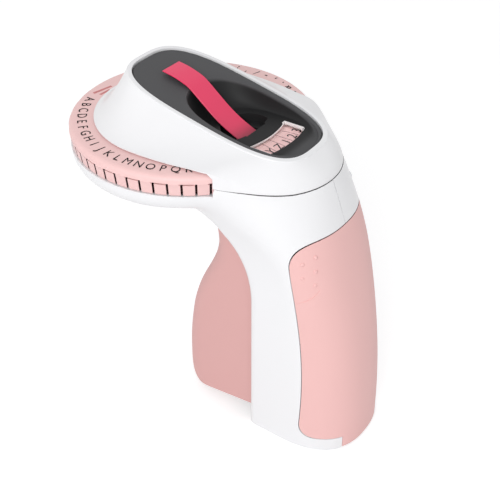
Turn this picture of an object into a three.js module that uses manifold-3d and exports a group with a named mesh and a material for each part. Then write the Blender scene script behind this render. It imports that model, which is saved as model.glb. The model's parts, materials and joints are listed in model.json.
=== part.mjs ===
// Hand-held embossing label maker, standing on the flat end of its handle.
// Millimetres, +Z up. +X points to the rear of the tool (palm side), -X to the dial's nose.
// The origin lies on the surface it stands on, below the middle of its length and width.
import * as THREE from 'three';
import { mergeVertices, mergeGeometries } from 'three/addons/utils/BufferGeometryUtils.js';
import Module from 'manifold-3d';

const wasm = await Module();
wasm.setup();

// Clearances and overruns shared by all pieces.
const fitGap = 0.3;
const runGap = 0.4;
const cutOver = 2;
const weldReach = 0.0001;

// Counts of facets round the pieces.
const dialSteps = 58;
const shellSteps = 40;
const leverSteps = 28;
const rimSteps = 48;
const rodSteps = 16;
const smallSteps = 10;
const windowSteps = 96;
const edgeSteps = 7;
const roundSteps = 4;
const bendSteps = 5;
const tapeSteps = 72;
const turnSteps = 10;
const legSteps = 8;
const wireSegments = 3;
const rollSteps = 29;

// The handle: outer skin in plan at each height, straight sides and a round rear.
// The seam between handle and head cover carries the heights of tray, dial, lever and frame.
const handle = {
  seamZ: 103.8,
  rearX: 60,
  frontX: 21.3,
  roundX: 33.6,
  halfWidth: 21.45,
  rearPower: 2.47,
  frontPower: 16,
  rearBowPower: 2.08,
  wall: 1.8,
  archLow: 58,
  archLead: 3,
  footHeight: 5.4,
};

// The head seen from above: an egg round the dial's axis, drawn out to the rear.
const head = {
  dialShow: 8.7,
  rearX: 38.4,
  frontPower: 2,
  rearPower: 2.1,
  wall: 1.7,
};

// The dial, its pairs of dies below the web, and the tray below it.
const dial = {
  rimRadius: 42.2,
  rimTaper: 0.8,
  rimWall: 1.7,
  letterInset: 4.8,
  dieInset: 2.8,
  dieLength: 4.2,
  ledge: 2.4,
  height: 7.4,
  shoulderDrop: 1.7,
  shoulderInset: 1.02,
  letterDrop: 0.2,
  webThick: 1.6,
  dieDepth: 1.1,
  slotWidth: 1,
  slotDepth: 1.1,
  slotHeight: 4.5,
};
const tray = {
  setBack: 0.2,
  edgeDrop: 0.6,
  depth: 7.2,
  floorThick: 1.6,
  roundRadius: 5.5,
  wall: 1.7,
};

// The sloping top: lip and black insert.
const top = {
  frontRise: 15.1,
  rearRise: 1.2264,
  frontIn: 14.55,
  rearIn: 8.45,
  halfWidth: 16.9,
  power: 3.15,
  lip: 1.5,
  lipRise: 0.4,
  floorLift: 1.3,
  floorThick: 1,
  skin: 1.5,
};
const recess = {
  rimX: 7,
  rimHalfLength: 22.5,
  rimHalfWidth: 14.6,
  floorX: 10,
  floorHalfLength: 17,
  floorHalfWidth: 12.6,
  power: 2.6,
};

// The round well in the recess, from which the tape comes up in front of the window.
const well = {
  x: 5.2,
  radius: 9.1,
  depth: 3,
  wall: 1,
  slotFrontX: 3,
  slotHalfWidth: 5.4,
};
const windowOpening = {
  inward: 5,
  outward: 3,
  halfWidth: 10.3,
  lensThick: 0.6,
};
const bearing = {
  wall: 1.8,
  gapHalfWidth: 6.2,
  lugInset: 4.4,
  lug: 3.2,
  lugThick: 2.2,
  lugAngle: 110,
  screwLength: 4.4,
};
const detent = {
  bump: 0.8,
  thick: 0.4,
  halfWidth: 6,
  height: 8,
  footInset: 3.9,
  footLength: 3.3,
};

// The squeeze lever and its pivot.
const lever = {
  pivotX: 8.5,
  pivotDrop: 3.5,
  pinRadius: 1.5,
  pinInset: 0.85,
  sideGap: 3.25,
  wall: 1.5,
  bellyX: -12.7,
  topX: 4,
  topRise: 1.8,
  rearX: 24,
  cheekX: 12.8,
  facePower: 3.4,
  earRadius: 3.2,
  lowFrontZ: 2.4,
  lowRearZ: 6.9,
  floorRearX: 12,
  barX: 15.6,
  barDrop: 0.6,
  barRadius: 1.6,
};
const spring = {
  radius: 2.25,
  wire: 0.35,
  turns: 4.5,
  leg: 11,
  upLeg: 2.9,
};

// The strip of tape and what guides it.
const tape = {
  halfWidth: 4.5,
  thick: 0.4,
  dieRoom: 1,
  upX: 19.9,
  rimRoom: 2,
  turnRadius: 2.8,
  rimClear: 0.8,
  endX: -26.3,
  endLift: 1.5,
};
const guide = {
  thick: 0.3,
  arcAngle: 80,
  foot: 0.8,
};
const roll = {
  z: 64,
  rearRoom: 3.1,
  hubRadius: 5,
  halfWidth: 4.6,
  axleRadius: 1.5,
  rimRadius: 8,
  rimThick: 0.8,
};

// The steel frame inside the handle.
const chassis = {
  sideGap: 5.95,
  thick: 2.5,
  rollLead: 0.5,
  rearLowX: 46,
  rearLowHeight: 29,
  rearMidX: 43.2,
  rearHighX: 35.4,
  noseLead: 2.8,
  noseLowDrop: 5.1,
  noseTopDrop: 6.8,
  topDrop: 5.8,
  webThick: 16,
};
const foot = {
  thick: 3.4,
};
const rollers = {
  drop: 10.4,
  feedRadius: 4,
  pressRadius: 3,
  halfWidth: 5,
  shaftRadius: 1.2,
  ratchetRadius: 4.6,
  ratchetTeeth: 12,
  ratchetY: 8.4,
  ratchetThick: 1.4,
  toothDepth: 0.9,
  pawlWall: 0.6,
  pawlTip: 0.96,
};

// The press under the selected letter.
const press = {
  halfLength: 2.6,
  halfWidth: 4.8,
  travel: 1.3,
  padThick: 1.1,
  bladeThick: 0.6,
  bladeDrop: 0.1,
  bladeLength: 8.1,
  tapeLead: 1,
};

// The rear cover of the tape compartment.
const grip = {
  thick: 2,
  topDrop: 15.2,
  lowZ: 5.8,
  lowFrontX: 42.8,
  highFrontX: 36.3,
  lowCorner: 6,
  highCorner: 8,
  edgeBow: 2,
  bowDrop: 24,
  tabInset: 9.25,
  tabFrontX: 54.6,
  tabLowZ: 0.5,
};

// Screws.
const screw = {
  shank: 1.1,
  headRadius: 2.1,
  headThick: 1.2,
  boss: 2.9,
  length: 10,
  crossX: 33.5,
  crossDrop: 9.6,
  crossInset: 4.45,
  crossBoss: 3.4,
  coverX: 30,
  coverY: 11.5,
  coverLength: 6.5,
  shelfDrop: 2.3,
  shelfThick: 2,
  shelfInner: 8.5,
  footX: 50,
  footInset: 9.25,
  webX: 37,
  webY: 9,
  footLength: 6.4,
  insertFront: 8.5,
  insertRear: 5.4,
  insertY: 10.08,
};

// Heights that follow from the seam and the steps above.
const trayEdgeZ = handle.seamZ - tray.edgeDrop;
const trayBottomZ = trayEdgeZ - tray.depth;
const trayFloorZ = trayBottomZ + tray.floorThick;
const dialLowZ = trayEdgeZ + fitGap;
const dialTopZ = dialLowZ + dial.height;
const webLowZ = dialTopZ - dial.webThick;
const shoulderZ = dialTopZ - dial.shoulderDrop;
const letterZ = dialTopZ - dial.letterDrop;
const slotTopZ = dialLowZ + dial.slotHeight;
const insertFloorZ = dialTopZ + top.floorLift;
const wellFloorZ = insertFloorZ - well.depth;
const tapeLevelZ = webLowZ - dial.dieDepth - tape.dieRoom;
const padTopZ = tapeLevelZ - tape.thick / 2 - press.travel - fitGap;
const padLowZ = padTopZ - press.padThick;
const bladeTopZ = padTopZ - press.bladeDrop;
const pivotZ = trayBottomZ - lever.pivotDrop;
const barZ = pivotZ - lever.barDrop;
const leverTopZ = pivotZ + lever.topRise;
const rollersZ = trayBottomZ - rollers.drop;
const gripTopZ = handle.seamZ - grip.topDrop;
const crossZ = handle.seamZ - screw.crossDrop;
const shelfZ = handle.seamZ - screw.shelfDrop;

// Radii of the dial and its neighbours, all from the dial's rim.
const rimLowRadius = dial.rimRadius - dial.rimTaper;
const rimInner = rimLowRadius - dial.rimWall;
const letterRadius = dial.rimRadius - dial.letterInset;
const dieOuter = letterRadius - dial.dieInset;
const dieInner = dieOuter - dial.dieLength;
const innerRadius = dieInner - dial.ledge;
const bearingRadius = dieInner - runGap;
const lugRadius = bearingRadius - bearing.lugInset;
const trayRadius = dial.rimRadius - tray.setBack;
const headRadius = dial.rimRadius - head.dialShow;
const windowInner = letterRadius - windowOpening.inward;
const windowOuter = letterRadius + windowOpening.outward;

// Half widths across the handle, all from its outer skin.
const leverHalfWidth = handle.halfWidth - lever.sideGap;
const pinHalfLength = handle.halfWidth - lever.pinInset;
const chassisHalfWidth = handle.halfWidth - chassis.sideGap;
const tabHalfWidth = handle.halfWidth - grip.tabInset;
const crossReach = handle.halfWidth - screw.crossInset;
const footY = handle.halfWidth - screw.footInset;

// Places along X: the tape rises just inside the dial's rim and the press stands under the dies.
const dialX = tape.upX + tape.rimRoom - rimInner;
const topFrontX = dialX - headRadius + top.frontIn;
const topRearX = head.rearX - top.rearIn;
const topCentreX = (topFrontX + topRearX) / 2;
const topHalfLength = (topRearX - topFrontX) / 2;
const topFrontZ = dialTopZ + top.frontRise;
const topSlope = (top.frontRise - top.rearRise) / (topRearX - topFrontX);
const pressX = dialX + (dieInner + dieOuter) / 2;
const bladeRearX = pressX - press.halfLength - fitGap;
const feedX = tape.upX + tape.thick / 2 + fitGap + rollers.feedRadius;
const pressRollerX = tape.upX - tape.thick / 2 - fitGap - rollers.pressRadius;
const rollFrontX = tape.upX + tape.thick / 2 + fitGap;
const rollRadius = (rearEdgeX(roll.z) - grip.thick - roll.rearRoom - rollFrontX) / 2;
const rollX = rollFrontX + rollRadius;
const wellRearRadius = innerRadius - runGap - well.wall;
const slotRearX = dialX + wellRearRadius;
const chassisFrontX = rollX - chassis.rollLead;
const chassisNoseX = pressRollerX - chassis.noseLead;

const turn = Math.PI * 2;
const degree = Math.PI / 180;

// Solids and meshes.

function toSolid(geometry) {
  const bare = geometry.clone();
  for (const name of Object.keys(bare.attributes)) {
    if (name !== 'position') bare.deleteAttribute(name);
  }
  const merged = mergeVertices(bare, weldReach);
  const vertProperties = new Float32Array(merged.attributes.position.array);
  const triVerts = new Uint32Array(merged.index.array);
  return new wasm.Manifold(new wasm.Mesh({ numProp: 3, vertProperties, triVerts }));
}

function toGeometry(solid) {
  const mesh = solid.getMesh();
  const geometry = new THREE.BufferGeometry();
  geometry.setAttribute('position', new THREE.BufferAttribute(new Float32Array(mesh.vertProperties), 3));
  geometry.setIndex(new THREE.BufferAttribute(new Uint32Array(mesh.triVerts), 1));
  geometry.computeVertexNormals();
  return geometry;
}

function join(...solids) {
  return solids.reduce((sum, solid) => sum.add(solid));
}

// A closed body through rings of points; every ring has the same count and is seen from above
// as a star round its own middle.
function loft(rings) {
  const count = rings[0].length;
  const positions = [];
  const index = [];
  for (const ring of rings) {
    for (const point of ring) positions.push(...point);
  }
  for (let level = 0; level + 1 < rings.length; level += 1) {
    for (let i = 0; i < count; i += 1) {
      const a = level * count + i;
      const b = level * count + (i + 1) % count;
      index.push(a, b, b + count, a, b + count, a + count);
    }
  }
  const cap = (ring, start, up) => {
    const middle = positions.length / 3;
    const mean = [0, 1, 2].map((axis) => ring.reduce((sum, point) => sum + point[axis], 0) / count);
    positions.push(...mean);
    for (let i = 0; i < count; i += 1) {
      const a = start + i;
      const b = start + (i + 1) % count;
      if (up) index.push(a, b, middle);
      else index.push(b, a, middle);
    }
  };
  cap(rings[0], 0, false);
  cap(rings[rings.length - 1], (rings.length - 1) * count, true);
  const geometry = new THREE.BufferGeometry();
  geometry.setAttribute('position', new THREE.Float32BufferAttribute(positions, 3));
  geometry.setIndex(index);
  return toSolid(geometry);
}

function block(lowX, highX, lowY, highY, lowZ, highZ) {
  const geometry = new THREE.BoxGeometry(highX - lowX, highY - lowY, highZ - lowZ);
  geometry.translate((lowX + highX) / 2, (lowY + highY) / 2, (lowZ + highZ) / 2);
  return toSolid(geometry);
}

// A round rod along Y, or upright along Z.
function crossRod(x, z, radius, lowY, highY, steps = rodSteps) {
  const geometry = new THREE.CylinderGeometry(radius, radius, highY - lowY, steps);
  geometry.translate(x, (lowY + highY) / 2, z);
  return toSolid(geometry);
}

function uprightRod(x, y, radius, lowZ, highZ, steps = smallSteps) {
  const geometry = new THREE.CylinderGeometry(radius, radius, highZ - lowZ, steps);
  geometry.rotateX(Math.PI / 2);
  geometry.translate(x, y, (lowZ + highZ) / 2);
  return toSolid(geometry);
}

// A body turned about the dial's axis, from a closed outline of radius and height.
function turned(outline, steps = dialSteps) {
  const points = outline.map(([radius, z]) => new THREE.Vector2(radius, z));
  points.push(points[0].clone());
  const geometry = new THREE.LatheGeometry(points, steps);
  geometry.rotateX(Math.PI / 2);
  geometry.translate(dialX, 0, 0);
  return toSolid(geometry);
}

// A plate with an outline in X and Z, standing between two values of Y.
function sidePlate(outline, lowY, highY) {
  const shape = new THREE.Shape(outline.map(([x, z]) => new THREE.Vector2(x, z)));
  const geometry = new THREE.ExtrudeGeometry(shape, { depth: highY - lowY, bevelEnabled: false });
  geometry.rotateX(Math.PI / 2);
  geometry.translate(0, highY, 0);
  return toSolid(geometry);
}

// Plan outlines.

// A closed curve round (x, 0): two half super-ellipses, front and rear, of one half width.
function planCurve({ x, front, rear, side, frontPower, rearPower }, count = shellSteps) {
  const points = [];
  for (let i = 0; i < count; i += 1) {
    const angle = turn * i / count;
    const c = Math.abs(i * 4 - count) % (count * 2) === 0 ? 0 : Math.cos(angle);
    const s = (i * 2) % count === 0 ? 0 : Math.sin(angle);
    const power = c < 0 ? frontPower : rearPower;
    const reach = c < 0 ? front : rear;
    const along = Math.sign(c) * Math.abs(c) ** (2 / power);
    const across = Math.sign(s) * Math.abs(s) ** (2 / power);
    points.push([x + reach * along, side * across]);
  }
  return points;
}

// The height of the sloping top above a place along X.
const topMiddleZ = topFrontZ - topSlope * topHalfLength;
function topZ(x) {
  return topMiddleZ - topSlope * (x - topCentreX);
}

function topRing(grow, rise, count = rimSteps) {
  const curve = planCurve({
    x: topCentreX,
    front: topHalfLength + grow,
    rear: topHalfLength + grow,
    side: top.halfWidth + grow,
    frontPower: top.power,
    rearPower: top.power,
  }, count);
  return curve.map(([x, y]) => [x, y, topZ(x) + rise]);
}

function headCurve(inset, count = rimSteps) {
  return planCurve({
    x: dialX,
    front: headRadius - inset,
    rear: head.rearX - dialX - inset,
    side: headRadius - inset,
    frontPower: head.frontPower,
    rearPower: head.rearPower,
  }, count);
}

// The handle's section at a height: the sides and rear spread into the head near its seam,
// and the front edge sweeps forward along an elliptic arch into the tray.
const archRise = trayBottomZ - handle.archLow;
const archReach = handle.frontX - (dialX + handle.archLead);
const spreadLowShare = 0.58;
const spreadPower = 3;
function rearEdgeX(z) {
  return handle.rearX - (handle.rearX - head.rearX) * (z / handle.seamZ) ** handle.rearBowPower;
}

function handleShape(level, inset = 0) {
  const z = Math.min(Math.max(level, 0), handle.seamZ);
  const low = handle.seamZ * spreadLowShare;
  const spread = Math.max(0, (z - low) / (handle.seamZ - low)) ** spreadPower;
  const rearX = rearEdgeX(z);
  const x = handle.roundX + (dialX - handle.roundX) * spread;
  const climb = Math.min(1, Math.max(0, (z - handle.archLow) / archRise));
  const frontX = handle.frontX - archReach * (1 - Math.sqrt(1 - climb * climb));
  return {
    x,
    front: Math.max(x - frontX, handle.wall),
    rear: rearX - x - inset,
    side: handle.halfWidth + (headRadius - handle.halfWidth) * spread - inset,
    frontPower: handle.frontPower,
    rearPower: handle.rearPower + (head.rearPower - handle.rearPower) * spread,
  };
}

const levelShares = [0, 0.14, 0.28, 0.42, 0.56, 0.63, 0.69, 0.745, 0.795, 0.835, 0.87, 0.9, 0.925, 0.96, 1];
function handleBody(inset, lowZ, highZ, stretch = 0) {
  const rings = levelShares.map((share) => {
    const z = lowZ + (highZ - lowZ) * share;
    const shape = handleShape(z, inset);
    shape.front += stretch;
    return planCurve(shape).map(([x, y]) => [x, y, z]);
  });
  return loft(rings);
}

// The dish under the dial.
function trayBody() {
  const low = trayBottomZ;
  const r = tray.roundRadius;
  const edge = [];
  for (let i = 0; i <= roundSteps; i += 1) {
    const angle = -Math.PI / 2 + Math.PI / 2 * i / roundSteps;
    edge.push([trayRadius - r + r * Math.cos(angle), low + r + r * Math.sin(angle)]);
  }
  return turned([[0, low], ...edge, [trayRadius, trayEdgeZ], [0, trayEdgeZ]]);
}

function trayHollow() {
  const low = trayFloorZ;
  const r = tray.roundRadius - tray.wall;
  const edgeRadius = trayRadius - tray.wall;
  return turned([
    [0, low],
    [edgeRadius - r, low],
    [edgeRadius - r / 3, low + r / 3],
    [edgeRadius, low + r],
    [edgeRadius, handle.seamZ + cutOver],
    [0, handle.seamZ + cutOver],
  ]);
}

// Room for the turning dial, cut from the shells.
function dialRoom(gap) {
  const outer = dial.rimRadius + gap;
  return turned([
    [0, trayEdgeZ],
    [outer, trayEdgeZ],
    [outer, shoulderZ + gap],
    [outer - dial.rimWall / 2, dialTopZ + gap],
    [0, dialTopZ + gap],
  ]);
}

// The outline of the rear cover seen from the side, wider by a gap for the shells round it.
function gripOutline(gap) {
  const outer = handle.rearX + cutOver * 2;
  const shape = new THREE.Shape();
  const lowFront = grip.lowFrontX - gap;
  const highFront = grip.highFrontX - gap;
  const low = grip.lowZ - gap;
  const high = gripTopZ + gap;
  shape.moveTo(outer, low);
  shape.lineTo(lowFront + grip.lowCorner, low);
  shape.quadraticCurveTo(lowFront, low, lowFront, low + grip.lowCorner);
  shape.bezierCurveTo(
    lowFront + grip.edgeBow,
    (low + high) / 2,
    highFront + grip.edgeBow,
    high - grip.bowDrop,
    highFront,
    high - grip.highCorner,
  );
  shape.quadraticCurveTo(highFront, high, highFront + grip.highCorner, high);
  shape.lineTo(outer, high);
  return shape.getPoints(edgeSteps).map(({ x, y }) => [x, y]);
}

function gripRegion(gap) {
  const outer = handle.rearX + cutOver * 2;
  const wide = handle.halfWidth + cutOver;
  const tab = tabHalfWidth + gap;
  const upper = sidePlate(gripOutline(gap), -wide, wide);
  const lowZ = gap > 0 ? -cutOver : grip.tabLowZ;
  return join(upper, block(grip.tabFrontX - gap, outer, -tab, tab, lowZ, grip.lowZ + cutOver));
}

// White shells.

// Seats inside the shells: for the cross screw, the lever's pin, the cover's and the foot's screws.
function shellSeats(outer) {
  const wide = headRadius;
  const pieces = [crossRod(screw.crossX, crossZ, screw.crossBoss, -wide, wide, smallSteps)];
  const pinInner = leverHalfWidth + fitGap * 3;
  for (const side of [-1, 1]) {
    const seat = (inner) => [side * inner, side * wide].sort((a, b) => a - b);
    pieces.push(crossRod(lever.pivotX, pivotZ, lever.earRadius, ...seat(pinInner), smallSteps));
    pieces.push(block(
      screw.coverX - screw.boss,
      screw.coverX + screw.boss,
      ...seat(screw.shelfInner),
      shelfZ,
      shelfZ + screw.shelfThick,
    ));
    pieces.push(block(
      screw.footX - screw.boss,
      screw.footX + screw.boss,
      ...seat(footY - screw.boss),
      foot.thick + fitGap,
      handle.footHeight - fitGap,
    ));
  }
  return join(...pieces).intersect(outer);
}

function bodyWhole() {
  const outer = join(handleBody(0, 0, handle.seamZ - fitGap / 2), trayBody());
  const inner = handleBody(handle.wall, -cutOver, handle.seamZ + cutOver, cutOver * 2);
  const floorSlab = turned([
    [0, trayBottomZ],
    [trayRadius, trayBottomZ],
    [trayRadius, trayFloorZ],
    [0, trayFloorZ],
  ]);
  const hollow = join(inner, trayHollow()).subtract(floorSlab);
  const leverRoom = leverHalfWidth + fitGap * 2;
  const mouth = block(dialX, lever.rearX, -leverRoom, leverRoom, -cutOver, trayBottomZ);
  const shell = outer.subtract(hollow).subtract(mouth);
  const holes = [dialRoom(runGap), gripRegion(fitGap), pressOpenings()];
  const reach = crossReach;
  holes.push(crossRod(screw.crossX, crossZ, screw.shank + fitGap, -reach, reach, smallSteps));
  const headRoom = screw.headRadius + fitGap;
  holes.push(crossRod(screw.crossX, crossZ, headRoom, reach, headRadius, smallSteps));
  const pinReach = pinHalfLength + fitGap;
  holes.push(crossRod(lever.pivotX, pivotZ, lever.pinRadius + fitGap, -pinReach, pinReach));
  for (const [x, y] of insertScrewPlaces) holes.push(screwHole(x, y, trayBottomZ, tray.floorThick));
  for (const [x, y] of bearingScrewPlaces()) holes.push(screwHole(x, y, trayBottomZ, tray.floorThick));
  for (const side of [-1, 1]) {
    holes.push(screwHole(screw.coverX, side * screw.coverY, shelfZ, screw.shelfThick));
    holes.push(screwHole(screw.footX, side * footY, 0, handle.footHeight));
  }
  return join(shell, shellSeats(outer)).subtract(join(...holes));
}

function screwHole(x, y, lowZ, depth) {
  return uprightRod(x, y, screw.shank + fitGap, lowZ - cutOver, lowZ + depth + cutOver, smallSteps);
}

// The tray's openings for the press and for the tape.
function pressOpenings() {
  const lowZ = trayBottomZ - cutOver;
  const highZ = trayFloorZ + cutOver;
  const plunger = block(
    bladeRearX - press.bladeThick - fitGap * 2,
    pressX + press.halfLength + fitGap,
    -press.halfWidth - fitGap,
    press.halfWidth + fitGap,
    lowZ,
    highZ,
  );
  const tapeRoom = tape.halfWidth + runGap * 2;
  const slot = block(tape.upX - runGap * 2, tape.upX + runGap * 2, -tapeRoom, tapeRoom, lowZ, highZ);
  return join(plunger, slot);
}

function bodyHalf(whole, side) {
  const wide = headRadius * 3;
  const half = side > 0
    ? block(-wide, wide, fitGap / 2, wide, -cutOver, topFrontZ)
    : block(-wide, wide, -wide, -fitGap / 2, -cutOver, topFrontZ);
  return whole.intersect(half);
}

// The domed cover over the dial: the egg outline drawn up to the lip on the sloping top.
// Low down it stands upright beside the dial; in front it flares out, at the rear it bulges.
const coverLevelShares = [0, 0.12, 0.27, 0.43, 0.6, 0.77, 0.91, 1];
const flareFrontShare = 0.6;
const flareSideShare = 0.85;
const bulgeRearShare = 1.6;
const uprightRearX = dialX + dial.rimRadius + cutOver * 3;
const uprightFrontX = uprightRearX - dial.rimRadius / 2;

function coverLoft(inset, lowZ, topGrow, topRise, lastGrow, lastRise) {
  const base = headCurve(inset);
  const crown = topRing(topGrow, topRise);
  const overDial = dialTopZ + runGap;
  const rings = [base.map(([x, y]) => [x, y, lowZ])];
  for (const share of coverLevelShares) {
    rings.push(base.map(([x, y], i) => {
      const c = Math.cos(turn * i / base.length);
      const bend = c > 0
        ? flareSideShare + (bulgeRearShare - flareSideShare) * c * c
        : flareSideShare + (flareFrontShare - flareSideShare) * c * c;
      const back = Math.min(1, Math.max(0, (uprightRearX - x) / (uprightRearX - uprightFrontX)));
      const startZ = handle.seamZ + fitGap + (overDial - handle.seamZ) * back * back * (3 - 2 * back);
      const move = share ** bend;
      return [
        x + (crown[i][0] - x) * move,
        y + (crown[i][1] - y) * move,
        startZ + (crown[i][2] - startZ) * share,
      ];
    }));
  }
  rings.push(topRing(lastGrow, lastRise));
  return loft(rings);
}

function topCover() {
  const lowZ = handle.seamZ + fitGap / 2;
  const outer = coverLoft(0, lowZ, top.lip + top.lipRise, 0, top.lip, top.lipRise);
  const inner = coverLoft(head.wall, lowZ - cutOver, fitGap, -top.skin, fitGap, cutOver);
  let cover = outer.subtract(inner);
  const bosses = [-1, 1].map((side) => uprightRod(
    screw.coverX,
    side * screw.coverY,
    screw.boss,
    shelfZ + screw.shelfThick + fitGap,
    topFrontZ,
    smallSteps,
  ));
  cover = join(cover, join(...bosses).intersect(outer).subtract(insertBlank(fitGap, fitGap)));
  const bores = [-1, 1].map((side) => uprightRod(
    screw.coverX,
    side * screw.coverY,
    screw.shank + fitGap,
    lowZ - cutOver,
    shelfZ + screw.coverLength - fitGap * 4,
    smallSteps,
  ));
  return cover.subtract(join(dialRoom(runGap), ...bores));
}

// The black insert, with its scooped recess.
function insertBlank(grow, drop) {
  const lowZ = insertFloorZ - top.floorThick - drop;
  return loft([topRing(grow, 0).map(([x, y]) => [x, y, lowZ]), topRing(grow, grow)]);
}

const recessLevelShares = [0, 0.5, 0.8, 1];
function recessCut() {
  const floor = planCurve({
    x: recess.floorX,
    front: recess.floorHalfLength,
    rear: recess.floorHalfLength,
    side: recess.floorHalfWidth,
    frontPower: recess.power,
    rearPower: recess.power,
  }, rimSteps);
  const rim = planCurve({
    x: recess.rimX,
    front: recess.rimHalfLength,
    rear: recess.rimHalfLength,
    side: recess.rimHalfWidth,
    frontPower: recess.power,
    rearPower: recess.power,
  }, rimSteps);
  const level = (share) => floor.map(([x, y], i) => {
    const [rimX, rimY] = rim[i];
    const rise = Math.max(0, topZ(rimX) - insertFloorZ);
    const climb = share ** 2;
    return [x + (rimX - x) * share, y + (rimY - y) * share, insertFloorZ + rise * climb];
  });
  const above = rim.map(([x, y]) => [x, y, topZ(x) + cutOver * 2]);
  return loft([...recessLevelShares.map(level), above]);
}

// The window between two arcs round the dial's axis, with both ends parallel.
function windowStrip(shrink, lowZ, highZ) {
  const wide = windowOpening.halfWidth - shrink;
  const ring = turned([
    [windowInner + shrink, lowZ],
    [windowOuter - shrink, lowZ],
    [windowOuter - shrink, highZ],
    [windowInner + shrink, highZ],
  ], windowSteps);
  const side = block(dialX, dialX + windowOuter * 2, -wide, wide, lowZ - cutOver, highZ + cutOver);
  return ring.intersect(side);
}

// The round well with its slot: its rear follows the dial's inner edge.
function wellBody(grow, lowZ, highZ) {
  const round = uprightRod(well.x, 0, well.radius + grow, lowZ, highZ, shellSteps);
  const reach = uprightRod(dialX, 0, wellRearRadius + grow, lowZ - cutOver, highZ + cutOver, dialSteps);
  return round.intersect(reach);
}

const insertScrewPlaces = [
  [dialX - screw.insertFront, 0],
  [dialX + screw.insertRear, screw.insertY],
  [dialX + screw.insertRear, -screw.insertY],
];

function topInsert() {
  const lowZ = insertFloorZ - top.floorThick;
  const wide = top.halfWidth + cutOver;
  const front = topCentreX - topHalfLength;
  const pocket = loft([
    topRing(-top.skin, 0).map(([x, y]) => [x, y, lowZ - cutOver]),
    topRing(-top.skin, -top.skin),
  ]).intersect(block(front, recess.rimX - recess.rimHalfLength - top.skin, -wide, wide, 0, topFrontZ));
  const slot = block(
    well.slotFrontX,
    slotRearX,
    -well.slotHalfWidth,
    well.slotHalfWidth,
    wellFloorZ - cutOver,
    insertFloorZ,
  );
  const glassRoom = windowStrip(0, lowZ - cutOver, insertFloorZ + cutOver * 2);
  const standZ = trayFloorZ + fitGap;
  const stands = insertScrewPlaces.map(([x, y]) => uprightRod(x, y, screw.boss, standZ, topZ(x) - top.skin));
  const bores = insertScrewPlaces.map(([x, y]) => uprightRod(
    x,
    y,
    screw.shank + fitGap,
    standZ - cutOver,
    trayBottomZ + screw.length,
  ));
  const wellShell = wellBody(well.wall, wellFloorZ - well.wall, insertFloorZ - top.floorThick / 2);
  let insert = insertBlank(0, 0).subtract(recessCut());
  insert = insert.subtract(pocket);
  insert = join(insert, wellShell, join(...stands).subtract(recessCut()));
  const wellRoom = wellBody(0, wellFloorZ, insertFloorZ + cutOver / 2);
  return insert.subtract(join(wellRoom, slot, glassRoom, ...bores));
}

function windowLens() {
  return windowStrip(fitGap, insertFloorZ - windowOpening.lensThick - fitGap, insertFloorZ - fitGap);
}

// The dial and its bearing.

function dialRing() {
  const webLow = webLowZ;
  const shoulder = dial.rimRadius - dial.shoulderInset;
  let ring = turned([
    [innerRadius, webLow],
    [dieInner, webLow],
    [dieInner, webLow - dial.dieDepth],
    [dieOuter, webLow - dial.dieDepth],
    [dieOuter, webLow],
    [rimInner, webLow],
    [rimInner, dialLowZ],
    [rimLowRadius, dialLowZ],
    [dial.rimRadius, slotTopZ],
    [dial.rimRadius, shoulderZ],
    [(dial.rimRadius + shoulder) / 2 + fitGap / 2, (shoulderZ + dialTopZ) / 2],
    [shoulder, letterZ - fitGap / 2],
    [letterRadius, letterZ],
    [innerRadius, dialTopZ],
  ]);
  const slots = [];
  for (let i = 0; i < dialSteps; i += 1) {
    const reach = dial.slotDepth + cutOver;
    const slot = new THREE.BoxGeometry(reach, dial.slotWidth, slotTopZ - dialLowZ + cutOver);
    slot.translate(
      rimLowRadius - dial.slotDepth + reach / 2,
      0,
      (slotTopZ + dialLowZ - cutOver) / 2,
    );
    slot.rotateZ(turn * (i + 0.5) / dialSteps);
    slot.translate(dialX, 0, 0);
    slots.push(slot);
  }
  ring = ring.subtract(toSolid(mergeGeometries(slots)));
  return ring;
}

function bearingScrewPlaces() {
  return [-1, 0, 1].map((side) => [
    dialX - lugRadius * Math.cos(side * bearing.lugAngle * degree),
    lugRadius * Math.sin(side * bearing.lugAngle * degree),
  ]);
}

function bearingRing() {
  const lowZ = trayFloorZ + fitGap;
  const outer = bearingRadius;
  const ring = turned([
    [outer - bearing.wall, lowZ],
    [outer, lowZ],
    [outer, dialTopZ - dial.webThick - fitGap],
    [outer - bearing.wall, dialTopZ - dial.webThick - fitGap],
  ]);
  const lugTopZ = lowZ + bearing.lugThick;
  const lugs = bearingScrewPlaces().map(([x, y]) => uprightRod(x, y, bearing.lug, lowZ, lugTopZ));
  const bores = bearingScrewPlaces().map(([x, y]) => screwHole(x, y, lowZ, bearing.lugThick));
  const wide = bearing.gapHalfWidth;
  const gap = block(dialX, dialX + dial.rimRadius, -wide, wide, 0, topFrontZ);
  return join(ring, ...lugs).subtract(join(gap, ...bores));
}

function detentSpring() {
  const face = rimInner - fitGap - detent.bump;
  const footOuter = rimInner - detent.footInset;
  const footInner = footOuter - detent.footLength;
  const lowZ = trayFloorZ + fitGap;
  const kneeZ = dialLowZ + fitGap;
  const outline = [
    [footInner, lowZ],
    [footOuter, lowZ],
    [face, kneeZ],
    [face, lowZ + detent.height],
    [face - detent.thick, lowZ + detent.height],
    [face - detent.thick, kneeZ],
    [footOuter - detent.thick, lowZ + detent.thick],
    [footInner, lowZ + detent.thick],
  ];
  const places = outline.map(([radius, z]) => [dialX - radius, z]);
  const leaf = sidePlate(places, -detent.halfWidth, detent.halfWidth);
  const knob = uprightRod(dialX - face + detent.thick / 2, 0, detent.bump, kneeZ, lowZ + detent.height);
  return join(leaf, knob);
}

// The squeeze lever.

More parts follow.
